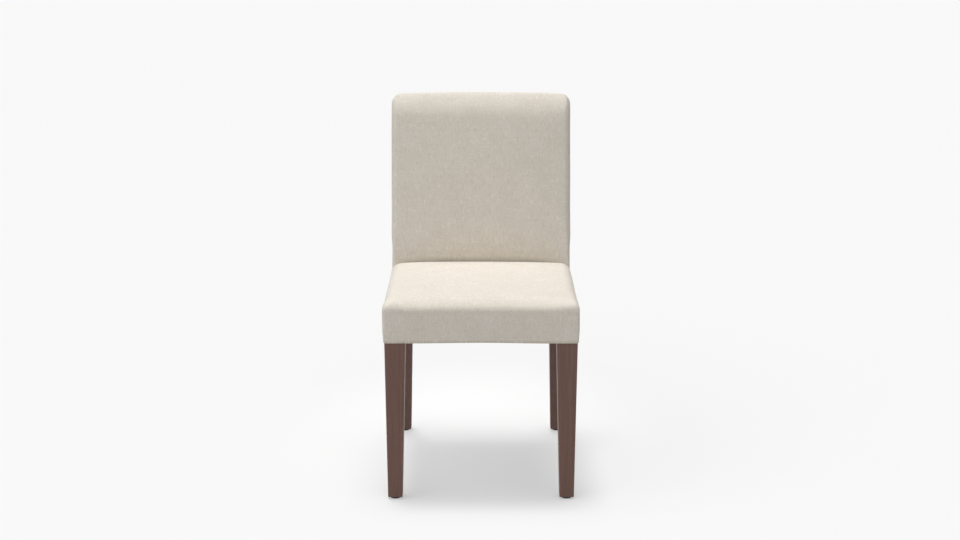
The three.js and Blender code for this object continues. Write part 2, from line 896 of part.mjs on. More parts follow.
// A glide with a bore for its nail and a recess for the nail's head.
function glideGeometry() {
  const bore = nailRadius + fit;
  const top = glideHeight - fit;
  return turned(
    [
      [bore, glideRecessDepth],
      [glideRecessRadius, glideRecessDepth],
      [glideRecessRadius, 0],
      [glideRadius - glideRounding, 0],
      [glideRadius, glideRounding],
      [glideRadius, top],
      [bore, top],
      [bore, glideRecessDepth],
    ],
    roundSides,
  );
}

function glideNailGeometry() {
  const seat = glideRecessDepth - fit;
  return turned(
    [
      [0, seat - nailHeadHeight],
      [nailHeadRadius, seat - nailHeadHeight],
      [nailHeadRadius, seat],
      [nailRadius, seat],
      [nailRadius, nailLength],
      [0, nailLength + nailRadius],
    ],
    screwSides,
  );
}

// What the chair has on each side: legs, glides, a side rail, corner blocks and screws. They are made
// for the sitter's left and mirrored for the right.
function sidePieces(side) {
  const group = new THREE.Group();
  group.add(piece(`front_leg_${side}`, frontLegGeometry(), 'stainedWood'));
  group.add(piece(`rear_leg_and_post_${side}`, rearLegGeometry(), 'stainedWood'));
  group.add(piece(`side_rail_${side}`, sideRailGeometry(), 'frameWood'));
  for (const [end, y] of [['front', frontFootY], ['rear', rearFootY]]) {
    const glide = piece(`${end}_glide_${side}`, glideGeometry(), 'nylon');
    const nail = piece(`${end}_glide_nail_${side}`, glideNailGeometry(), 'zincSteel');
    glide.position.set(footX, y, 0);
    nail.position.set(footX, y, 0);
    group.add(glide, nail);
  }
  for (const [end, corner] of Object.entries(corners)) {
    group.add(piece(`${end}_corner_block_${side}`, cornerBlockGeometry(corner), 'frameWood'));
    for (const [rail, place] of Object.entries(screwPlaces(corner))) {
      const name = `${end}_block_screw_${rail === 'end' ? end : 'side'}_rail_${side}`;
      const screw = piece(name, screwGeometry(), 'zincSteel');
      screw.applyMatrix4(place);
      group.add(screw);
    }
  }
  group.scale.x = side === 'left' ? 1 : -1;
  return group;
}

function seatFrame() {
  const group = new THREE.Group();
  group.add(piece('front_rail', endRailGeometry(corners.front, railPlaces.front), 'frameWood'));
  group.add(piece('rear_rail', endRailGeometry(corners.rear, railPlaces.rear), 'frameWood'));
  return group;
}

// The pieces that lean with the back, in the back's own frame.
function backPieces() {
  const group = new THREE.Group();
  for (const [name, foot] of Object.entries(backRailFeet)) {
    const rail = piece(`back_${name}_rail`, railGeometry(crossRailLength, backRailHeight), 'frameWood');
    rail.position.set(0, postDepthIn, foot);
    group.add(rail);
  }
  const strapPitch = (upperRailFoot - lowerRailFoot - backRailHeight) / strapCount;
  for (let i = 0; i < strapCount; i++) {
    const strap = piece(`back_webbing_${i + 1}`, strapGeometry(), 'webbing');
    strap.position.z = lowerRailFoot + backRailHeight + strapPitch * (i + 1 / 2) - strapHeight / 2;
    group.add(strap);
  }
  group.add(piece('back_foam', backFoamGeometry(), 'foam'));
  group.add(piece('back_batting', backBattingGeometry(), 'batting'));
  group.add(piece('back_cover', backCoverGeometry(), 'linen'));
  group.applyMatrix4(backFrame);
  return group;
}

function rearPieces() {
  const group = new THREE.Group();
  const boardHalfWidth = panelHalfWidth - coverThickness - fit;
  const boardHead = postTop - tackStripHeight - fit;
  const board = rearSkin(boardDepth, boardThickness, boardHalfWidth, railBottom, boardHead);
  const panel = rearSkin(panelDepth, coverThickness, panelHalfWidth, seatUnderside, panelHead);
  const strip = block(
    [-boardHalfWidth, boardDepth, postTop - tackStripHeight],
    [boardHalfWidth, boardDepth + tackStripThickness, postTop],
  ).applyMatrix4(backFrame);
  group.add(piece('back_board', board, 'board'));
  group.add(piece('back_tack_strip', strip, 'board'));
  group.add(piece('outside_back_cover', panel, 'linen'));
  return group;
}

function seatPieces() {
  const group = new THREE.Group();
  group.add(piece('spring_felt_pad', springPadGeometry(), 'felt'));
  group.add(piece('seat_foam', seatFoamGeometry(), 'foam'));
  group.add(piece('seat_batting', seatBattingGeometry(), 'batting'));
  group.add(piece('seat_cover', seatCoverGeometry(), 'linen'));
  group.add(piece('dust_cover', dustCoverGeometry(), 'cambric'));
  return group;
}

const chair = new THREE.Group();
chair.add(sidePieces('left'), sidePieces('right'), seatFrame(), springsAndClips());
chair.add(seatPieces(), backPieces(), rearPieces());
chair.position.y = -overallDepth / 2;

export default chair;
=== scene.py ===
"""A parsons chair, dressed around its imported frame. Sizes are in metres, and it faces -Y."""

import math

import bmesh
import bpy
from mathutils import Matrix, Vector, noise


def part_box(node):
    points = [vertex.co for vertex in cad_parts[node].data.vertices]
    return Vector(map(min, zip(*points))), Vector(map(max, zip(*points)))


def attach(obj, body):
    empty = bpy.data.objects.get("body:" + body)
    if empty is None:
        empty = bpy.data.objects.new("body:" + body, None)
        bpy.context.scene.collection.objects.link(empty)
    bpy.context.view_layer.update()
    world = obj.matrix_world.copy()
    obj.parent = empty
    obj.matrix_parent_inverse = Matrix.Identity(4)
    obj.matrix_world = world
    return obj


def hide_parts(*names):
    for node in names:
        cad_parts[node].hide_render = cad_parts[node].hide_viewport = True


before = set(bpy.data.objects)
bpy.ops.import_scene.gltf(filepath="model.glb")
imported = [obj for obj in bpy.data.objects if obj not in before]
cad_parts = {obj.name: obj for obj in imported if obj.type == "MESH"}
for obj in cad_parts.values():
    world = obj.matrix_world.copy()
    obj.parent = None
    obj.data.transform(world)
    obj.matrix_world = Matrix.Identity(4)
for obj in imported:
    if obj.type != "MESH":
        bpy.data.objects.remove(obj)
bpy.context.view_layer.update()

bl_info = {
    "name": "Parsons chair",
    "version": (1, 0, 0),
    "blender": (4, 5, 0),
    "location": "3D Viewport > Sidebar > Chair",
    "description": "Dresses the frame of an upholstered side chair and sets its stage",
    "category": "Object",
}

SEAT_LOW, SEAT_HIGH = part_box("seat_cover")
BACK_LOW, BACK_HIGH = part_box("back_cover")
LEG_LOW, LEG_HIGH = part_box("front_leg_left")
POST_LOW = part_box("rear_leg_and_post_left")[0]
DUST_LOW, DUST_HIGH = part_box("dust_cover")
PANEL_LOW, PANEL_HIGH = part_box("outside_back_cover")
RAIL_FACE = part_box("side_rail_left")[1].x
GAP = 0.0003  # between two pieces that touch
EDGE_ROUNDING = 0.0032  # of the covers' lower edge
LIP_DEPTH = 0.0012  # the cloth this close to a cover's lowest level is its lip
WEAVE = "weave"  # the UV map that holds the cloth's own coordinates, in metres
# Painted shade: the linen is painted darker where this attribute is 1.
FOLD_SHADE = "fold"  # 1 where a cover's lower edge is folded under
BAND_SCALE = math.pi / 10  # a wave texture of this scale has its bands a metre apart


def length(name, description, default):
    return bpy.props.FloatProperty(
        name=name, description=description, default=default, precision=4, unit="LENGTH"
    )


def number(name, description, default):
    return bpy.props.FloatProperty(name=name, description=description, default=default)


def angle(name, description, degrees):
    return bpy.props.FloatProperty(
        name=name, description=description, default=math.radians(degrees), subtype="ANGLE"
    )


def linear(code):
    """The linear colour of an sRGB hex code."""
    parts = [int(code[i : i + 2], 16) / 255 for i in (1, 3, 5)]
    return [p / 12.92 if p <= 0.04045 else ((p + 0.055) / 1.055) ** 2.4 for p in parts]


def colour(name, description, code):
    return bpy.props.FloatVectorProperty(
        name=name,
        description=description,
        default=linear(code),
        size=3,
        min=0,
        max=1,
        subtype="COLOR",
    )


class ChairSeat(bpy.types.PropertyGroup):
    height: length("Height", "From the floor to the seat's edge", 0.4843)
    crown: length("Crown", "How far the seat swells in its middle", 0.0050)
    front_edge: length("Front edge", "How far the front rounding runs in", 0.036)
    front_drop: length("Front drop", "How far it runs down the front", 0.0190)
    front_lift: length("Front lift", "How much the front swells in its middle", 0.0056)
    corner_edge: length("Corner edge", "The front rounding near the corners", 0.022)
    corner_drop: length("Corner drop", "How far it runs down there", 0.021)
    side_edge: length("Side edge", "How far a side rounding runs in", 0.021)
    rear_side: length("Rear side", "The side rounding towards the back", 0.026)
    rear_edge: length("Rear edge", "How far the rounding of the rear runs in", 0.007)
    drop: length("Edge drop", "How far the rounding runs down the walls", 0.0255)
    draw: length("Draw", "How far the walls draw in towards the rails", 0.0026)
    lip: length("Lip", "How far the cover runs in under the rails", 0.011)
    sag: length("Sag", "How far the edge hangs below the rails", 0.0013)
    hang: length("Hang", "How much lower than that it hangs at the legs", 0.0016)
    batting: length("Batting", "Thickness of the batting on the foam", 0.005)


class ChairBack(bpy.types.PropertyGroup):
    rake: angle("Rake", "How far the back leans from upright", 9.3)
    bend_height: length("Bend height", "Where the back starts to lean", 0.459)
    depth: length("Depth", "From the back's face to its rear", 0.0768)
    rim_depth: length("Rim depth", "From the back's face to the cover's end", 0.0753)
    side_length: length("Side length", "From the bend to the top, along a side", 0.4575)
    bow: length("Top bow", "How much higher the top is in its middle", 0.0055)
    crown: length("Crown", "How far the face swells in its middle", 0.0075)
    top_edge: length("Top edge", "How far the top rounding runs down the face", 0.067)
    corner_edge: length("Corner edge", "The same rounding near the corners", 0.044)
    side_edge: length("Side edge", "How far a side rounding runs in", 0.015)
    foot_edge: length("Foot edge", "How far the lower rounding runs up the face", 0.002)
    foot_drop: length("Foot drop", "How deep the roundings are at the foot", 0.012)
    foot_side: length("Foot side", "How far a side rounding runs in at the foot", 0.006)
    relief: length("Relief", "How far the face curls in at its foot", 0.014)
    relief_reach: length("Relief reach", "How far up the face that goes", 0.095)
    pinch: length("Pinch", "How much narrower each side is at the foot", 0.0021)
    taper: length("Taper", "How much narrower each side is at the top", 0.0013)
    drop: length("Edge drop", "How deep the other roundings are", 0.030)
    top_corner: length("Top corner", "Radius of the top corners from the front", 0.020)
    rear_edge: length("Rear edge", "The rounding where the rear panel closes", 0.006)
    batting: length("Batting", "Thickness of the batting on the foam", 0.005)


class ChairCloth(bpy.types.PropertyGroup):
    thickness: length("Cloth", "Thickness of the cover cloth", 0.0012)
    grid: length("Grid", "Size of the cloth's quads away from its edges", 0.0085)
    fine_grid: length("Fine grid", "Size of the cloth's quads at its edges", 0.0042)
    ease: length("Ease", "How far the batting lies below the cover", 0.0013)
    side_inset: length("Side inset", "How much narrower a pad starts", 0.0001)
    top_inset: length("Top inset", "How much lower a pad starts", 0.0008)
    swell: length("Swell", "The furthest that the simulation moves a point out", 0.0028)
    sink: length("Sink", "The furthest that the simulation moves a point in", 0.0001)
    blending: bpy.props.IntProperty(
        name="Blending", description="Rounds of evening out between neighbours", default=70
    )
    staple_pitch: length("Staple pitch", "From one staple to the next", 0.036)
    stitch_pitch: length("Stitch pitch", "From one stitch to the next", 0.009)


class ChairColours(bpy.types.PropertyGroup):
    linen: colour("Linen", "The cloth's ground", "#e3dcd2")
    linen_light: colour("Linen slubs", "The thicker, paler threads", "#f2ebdf")
    # Also the painted shade along the covers' turned-under lower edge.
    linen_dark: colour("Linen shade", "The duller threads", "#cec5b5")
    wood: colour("Stained wood", "The stained legs", "#6c4b40")
    wood_dark: colour("Stained pores", "Where the stain gathers", "#4a3028")
    # Also the painted highlight on the legs' small bevels, besides the paler streaks in the
    # grain.
    wood_streak_and_highlight: colour("Stained edges", "Where the stain is rubbed thin", "#8c6a5b")
    rail: colour("Frame wood", "The bare wood of the frame", "#cdb18a")
    rail_dark: colour("Frame grain", "The darker growth rings", "#b08f63")
    foam: colour("Foam", "The polyurethane foam", "#e9dfae")
    batting: colour("Batting", "The polyester batting", "#f3f2ee")
    felt: colour("Felt", "The felt on the springs", "#8b8a86")
    webbing: colour("Webbing", "The elastic webbing", "#2d2b2a")
    webbing_line: colour("Webbing line", "The webbing's paler threads", "#6a4a38")
    board: colour("Board", "The fibre board", "#b59a74")
    cambric: colour("Cambric", "The dust cover", "#1d1d1e")
    nylon: colour("Nylon", "The glides", "#1c1a1a")
    spring_steel: colour("Spring steel", "The oil-tempered springs", "#77797c")
    zinc: colour("Zinc", "The plated screws, clips and staples", "#b9b7ae")
    floor: colour("Floor", "The studio floor", "#f8f8f8")


class ChairStage(bpy.types.PropertyGroup):
    lens: number("Lens", "Focal length in millimetres", 60)
    eye: bpy.props.FloatVectorProperty(
        name="Eye",
        description="Where the camera stands",
        default=(-0.0024, -3.857, 1.41),
        size=3,
        subtype="XYZ_LENGTH",
    )
    pitch: angle("Pitch", "How far the camera looks down", 13.3)
    top_light: number("Top light", "Strength of the lights overhead", 1.81)
    front_light: number("Front light", "Strength of the soft light in front", 1.70)
    side_light: number("Side light", "Strength of the weak light on the left", 0.3)
    fill: number("Fill light", "Strength of the light all round", 0.06)


GROUPS = {
    "chair_seat": ChairSeat,
    "chair_back": ChairBack,
    "chair_cloth": ChairCloth,
    "chair_colours": ChairColours,
    "chair_stage": ChairStage,
}


def mix(a, b, share):
    return a + (b - a) * share


def clamp(value, low, high):
    return max(low, min(high, value))


def smooth(value):
    t = clamp(value, 0, 1)
    return t * t * (3 - 2 * t)


# Materials


def node(tree, kind, inputs=None, out=0, **settings):
    """Adds a node, sets its properties, sets or links its inputs, and gives one output."""
    made = tree.nodes.new("ShaderNode" + kind)
    for name, value in settings.items():
        setattr(made, name, value)
    for socket, value in (inputs or {}).items():
        if isinstance(value, bpy.types.NodeSocket):
            tree.links.new(value, made.inputs[socket])
        else:
            made.inputs[socket].default_value = value
    return made.outputs[out] if made.outputs else None


def rgba(value):
    return (*value, 1)


def finish(name, colour_of, height_of, bump, **shader):
    """A material whose colour and relief come from functions of its node tree."""
    material = bpy.data.materials.get(name)
    if material:
        return material
    material = bpy.data.materials.new(name)
    material.use_nodes = True
    tree = material.node_tree
    surface = tree.nodes["Principled BSDF"]
    for socket, value in shader.items():
        surface.inputs[socket.replace("_", " ")].default_value = value
    strength, distance = bump
    relief = {"Height": height_of(tree), "Strength": strength, "Distance": distance}
    tree.links.new(node(tree, "Bump", relief), surface.inputs["Normal"])
    tree.links.new(colour_of(tree), surface.inputs["Base Color"])
    return material


def grain(tree, where, sizes, detail=2):
    """Noise whose blotches are about `sizes` metres long on each axis."""
    placed = node(tree, "Mapping", {0: where, "Scale": [1 / s for s in sizes]})
    return node(tree, "TexNoise", {"Vector": placed, "Scale": 1, "Detail": detail})


def flecks(tree, where, sizes, between, most, detail=2):
    """How much of a second colour shows: from none to `most`, as the grain goes up."""
    levels = {0: grain(tree, where, sizes, detail), 1: between[0], 2: between[1], 4: most}
    return node(tree, "MapRange", levels)


def layered(tree, ground, layers):
    """Colours laid over a ground, each with its own share."""
    for share, tone in layers:
        ground = node(
            tree, "Mix", {0: share, 6: ground, 7: rgba(tone)}, "Result", data_type="RGBA"
        )
    return ground


def woven_relief(tree, where, pitch):
    """Round threads both ways, `pitch` metres apart."""
    bands = {"Vector": where, "Scale": BAND_SCALE / pitch, "Distortion": 0.4}
    up, across = [node(tree, "TexWave", bands, "Fac", bands_direction=way) for way in "XY"]
    return node(tree, "Math", {0: up, 1: across}, operation="MULTIPLY")


def linen(colours):
    """Woven linen blend: slubby threads both ways, matt, with a faint halo of loose fibre."""
    light, dark = colours.linen_light, colours.linen_dark
    # Slubs are 12 to 20 mm long and as thick as two threads. They are drawn 2.6 mm wide,
    # since a real 1 mm slub is too fine to show.
    slub_up, slub_across = (0.0026, 0.019, 1), (0.019, 0.0026, 1)
    # Size, where in the noise a fleck starts and is full, its share, its tone and its detail.
    kinds = (
        # The dye takes a little unevenly, in patches from 3 mm to some centimetres.
        ((0.045, 0.06, 1), (0.35, 0.65), 0.26, dark, 3),
        ((0.009, 0.011, 1), (0.35, 0.65), 0.16, dark, 2),
        ((0.003, 0.003, 1), (0.30, 0.70), 0.24, light, 2),
        # Some threads are duller than the others.
        ((0.0034, 0.016, 1), (0.58, 0.72), 0.50, dark, 1),
        ((0.014, 0.0034, 1), (0.60, 0.74), 0.42, dark, 1),
        (slub_up, (0.63, 0.73), 1.0, light, 1),
        (slub_across, (0.64, 0.75), 0.75, light, 1),
    )

    def colour_of(tree):
        where = node(tree, "UVMap", uv_map=WEAVE)
        # Painted shade: where the cover's lower edge is folded under, the cloth is painted
        # darker.
        layers = [(node(tree, "Attribute", None, "Fac", attribute_name=FOLD_SHADE), dark)]
        for sizes, between, most, tone, detail in kinds:
            layers.append((flecks(tree, where, sizes, between, most, detail), tone))
        return layered(tree, rgba(colours.linen), layers)

    def height_of(tree):
        where = node(tree, "UVMap", uv_map=WEAVE)
        # Threads are 0.7 mm apart and drawn 1.4 mm apart, so that they show close by.
        weave = woven_relief(tree, where, 0.0014)
        slub = grain(tree, where, slub_up, 1)
        return node(tree, "Math", {0: weave, 1: slub}, operation="ADD")

    return finish(
        "woven_linen",
        colour_of,
        height_of,
        (0.32, 0.0006),
        Roughness=0.92,
        Sheen_Weight=0.12,
        Sheen_Roughness=0.5,
        Specular_IOR_Level=0.2,
    )


def stained_wood(colours):
    """Beech stained brown under satin lacquer: fine straight grain, small dark pores, and a
    painted highlight that makes the small bevels paler."""
    # Pores are 0.3 mm wide. They are drawn 1 mm wide, so that they show close by.
    pore_size = (0.001, 0.001, 0.014)

    def colour_of(tree):
        where = node(tree, "TexCoord", out="Object")
        band = flecks(tree, where, (0.006, 0.006, 0.30), (0.3, 0.7), 0.45, 4)
        streak = flecks(tree, where, (0.0022, 0.0022, 0.16), (0.45, 0.75), 0.30, 2)
        pore = flecks(tree, where, pore_size, (0.60, 0.72), 0.5, 1)
        normal = node(tree, "TexCoord", out="Normal")
        facing = [node(tree, "SeparateXYZ", {0: normal}, axis) for axis in "XY"]
        x, y = [node(tree, "Math", {0: part}, operation="ABSOLUTE") for part in facing]
        # Painted highlight: the small bevels face both ways at once, and they are painted
        # paler there.
        both = node(tree, "Math", {0: x, 1: y}, operation="MINIMUM")
        bevel_highlight = node(tree, "MapRange", {0: both, 1: 0.4, 2: 0.6, 4: 0.45})
        layers = (
            (band, colours.wood_dark),
            (streak, colours.wood_streak_and_highlight),
            (pore, colours.wood_dark),
            (bevel_highlight, colours.wood_streak_and_highlight),
        )
        return layered(tree, rgba(colours.wood), layers)

    def height_of(tree):
        return grain(tree, node(tree, "TexCoord", out="Object"), pore_size)

    return finish(
        "stained_beech",
        colour_of,
        height_of,
        (0.12, 0.0004),
        Roughness=0.48,
        IOR=1.5,
        Coat_Weight=0.12,
        Coat_Roughness=0.35,
    )


def frame_wood(colours, along=0):
    """Planed hardwood left bare: pale, matt, with growth rings along the board."""
    ring_sizes = [0.004, 0.004, 0.004]
    ring_sizes[along] = 0.05

    def colour_of(tree):
        where = node(tree, "TexCoord", out="Object")
        ring = flecks(tree, where, ring_sizes, (0.35, 0.65), 1, 4)
        return layered(tree, rgba(colours.rail), [(ring, colours.rail_dark)])

    def height_of(tree):
        where = node(tree, "TexCoord", out="Object")
        return grain(tree, where, [size * 0.4 for size in ring_sizes])

    name = "planed_hardwood_" + "xyz"[along]
    return finish(name, colour_of, height_of, (0.2, 0.0004), Roughness=0.7)


def side_rail_wood(colours):
    """The same hardwood with its grain from front to rear."""
    return frame_wood(colours, 1)


def mottled(name, tone, size, share, bump, **shader):
    """One colour, lighter and darker in blotches of `size` metres, with the same relief."""

    def colour_of(tree):
        where = node(tree, "TexCoord", out="Object")
        blotch = flecks(tree, where, (size,) * 3, (0.3, 0.7), 1, 3)
        light = [min(1, c * (1 + share)) for c in tone]
        return layered(tree, rgba([c * (1 - share) for c in tone]), [(blotch, light)])

    def height_of(tree):
        return grain(tree, node(tree, "TexCoord", out="Object"), (size,) * 3, 3)

    return finish(name, colour_of, height_of, bump, **shader)


def foam(colours):
    """Cut polyurethane foam: open cells about 1 mm wide, drawn 2 mm wide, and quite matt."""
    return mottled("cut_foam", colours.foam, 0.002, 0.10, (0.6, 0.0008), Roughness=1.0)


def batting(colours):
    """Bonded polyester batting: loose white fibre in soft tufts about 8 mm wide."""
    return mottled("bonded_batting", colours.batting, 0.008, 0.05, (0.6, 0.002), Roughness=1.0)


def felt(colours):
    """Needled felt of mixed grey fibre, with flecks of 3 mm."""
    return mottled("needled_felt", colours.felt, 0.003, 0.28, (0.5, 0.0008), Roughness=1.0)


def board(colours):
    """Pressed fibre board: flat, brown and slightly flecked."""
    return mottled("pressed_board", colours.board, 0.004, 0.12, (0.15, 0.0003), Roughness=0.85)


def cambric(colours):
    """Black spun-bonded cloth: dull, with dimples 2 mm apart where the fibres are melted."""
    return mottled(
        "spunbond_cambric", colours.cambric, 0.002, 0.35, (0.4, 0.0004), Roughness=0.9
    )


def nylon(colours):
    """Moulded nylon: nearly black with a dull shine and a fine moulded texture."""
    return mottled("moulded_nylon", colours.nylon, 0.0015, 0.08, (0.1, 0.0002), Roughness=0.4)


def spring_steel(colours):
    """Oil-tempered steel wire: dark grey, half shiny, with drawing marks."""
    return mottled(
        "tempered_wire",
        colours.spring_steel,
        0.006,
        0.15,
        (0.05, 0.0002),
        Roughness=0.35,
        Metallic=1.0,
    )


def zinc(colours):
    """Zinc-plated steel: pale, with faint crystals about 3 mm wide."""
    return mottled(
        "zinc_plated_steel",
        colours.zinc,
        0.003,
        0.10,
        (0.05, 0.0002),
        Roughness=0.38,
        Metallic=1.0,
    )


def thread(colours):
    """Twisted polyester thread that matches the cloth: a little shinier, with its twist."""
    return mottled("twisted_thread", colours.linen, 0.0012, 0.10, (0.4, 0.0002), Roughness=0.6)


def webbing(colours):
    """Elastic webbing woven from rubber and textile: dark, ribbed, with two paler lines."""
    line_pitch = 0.025

    def colour_of(tree):
        bands = {"Vector": node(tree, "UVMap", uv_map=WEAVE), "Scale": BAND_SCALE / line_pitch}
        line = node(tree, "TexWave", bands, "Fac", bands_direction="Y")
        stripe = node(tree, "MapRange", {0: line, 1: 0.90, 2: 0.97})
        return layered(tree, rgba(colours.webbing), [(stripe, colours.webbing_line)])

    def height_of(tree):
        return woven_relief(tree, node(tree, "UVMap", uv_map=WEAVE), 0.002)

    return finish("woven_webbing", colour_of, height_of, (0.5, 0.0006), Roughness=0.85)


# Shapes


def linked(name, data):
    """A new object in the scene."""
    made = bpy.data.objects.new(name, data)
    bpy.context.scene.collection.objects.link(made)
    return made


def meshed(name, bm):
    """A mesh from a bmesh that is done with."""
    mesh = bpy.data.meshes.new(name)
    bm.to_mesh(mesh)
    bm.free()
    return mesh


def new_piece(name, bm, material, crease=None):
    """A finished piece with its place in its mesh, which rides on the chair."""
    mesh = meshed(name, bm)
    mesh.materials.append(material)
    mesh.polygons.foreach_set("use_smooth", [True] * len(mesh.polygons))
    if crease:
        mesh.set_sharp_from_angle(angle=math.radians(crease))
    piece = linked(name, mesh)
    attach(piece, "root")
    return piece


def copied(name):
    """A merged copy of a frame node's mesh."""
    bm = bmesh.new()
    bm.from_mesh(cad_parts[name].data)
    bmesh.ops.remove_doubles(bm, verts=bm.verts, dist=1e-5)
    bmesh.ops.recalc_face_normals(bm, faces=bm.faces)
    return bm


def slice_mesh(bm, point, normal):
    geometry = bm.verts[:] + bm.edges[:] + bm.faces[:]
    bmesh.ops.bisect_plane(bm, geom=geometry, dist=1e-6, plane_co=point, plane_no=normal)


def slice_along(bm, axis, places):
    for place in places:
        point, normal = Vector(), Vector()
        point[axis], normal[axis] = place, 1
        slice_mesh(bm, point, normal)


def steps_between(start, end, step):
    """Even steps of about `step` from start up to, but not at, end."""
    count = max(1, round((end - start) / step))
    return [mix(start, end, i / count) for i in range(count)]


def fitted(bm, low, high, lines):
    """Stretches a unit shape between two corners, and cuts it along lines on each axis."""
    bmesh.ops.scale(bm, vec=high - low, verts=bm.verts)
    bmesh.ops.translate(bm, vec=(low + high) / 2, verts=bm.verts)
    for axis, places in enumerate(lines):
        slice_along(bm, axis, places)
    return bm


def lay_weave(bm, laid):
    """Stores where on the cloth each face's points lie, as `laid` works it out."""
    weave = bm.loops.layers.uv.new(WEAVE)
    for face in bm.faces:
        for loop in face.loops:
            loop[weave].uv = laid(face, loop.vert.co)


def boxed(low, high, lines):
    """A box of cloth, open below, which runs over the top and down each wall."""

    def laid(face, co):
        x, y, fall = co.x, co.y, high.z - co.z
        if abs(face.normal.x) > 0.5:
            x += math.copysign(fall, face.normal.x)
        elif abs(face.normal.y) > 0.5:
            y += math.copysign(fall, face.normal.y)
        return x, y

    bm = bmesh.new()
    bmesh.ops.create_cube(bm, size=1)
    delete_faces(bm, lambda c: c.z < -0.4)
    fitted(bm, low, high, lines)
    lay_weave(bm, laid)
    return bm


def flat_cloth(low, high, lines):
    """A flat cloth between two corners, cut along lines both ways."""
    bm = bmesh.new()
    bmesh.ops.create_grid(bm, x_segments=1, y_segments=1, size=0.5)
    return fitted(bm, low, high, lines)


def stamp(bm, shape, matrix):
    """Adds a copy of a small mesh at its place."""
    count = len(bm.verts)
    bm.from_mesh(shape)
    bmesh.ops.transform(bm, matrix=matrix, verts=bm.verts[count:])


def round_corner(x, y, half, end, radius):
    """Turns the square corner at (half, end) into a round one."""
    u = clamp((abs(x) - half + radius) / radius, 0, 1)
    v = clamp((y - end + radius) / radius, 0, 1)
    if u == 0 or v == 0:
        return x, y
    across = abs(x) - radius * u * (1 - math.sqrt(1 - v * v / 2))
    return math.copysign(across, x), y - radius * v * (1 - math.sqrt(1 - u * u / 2))


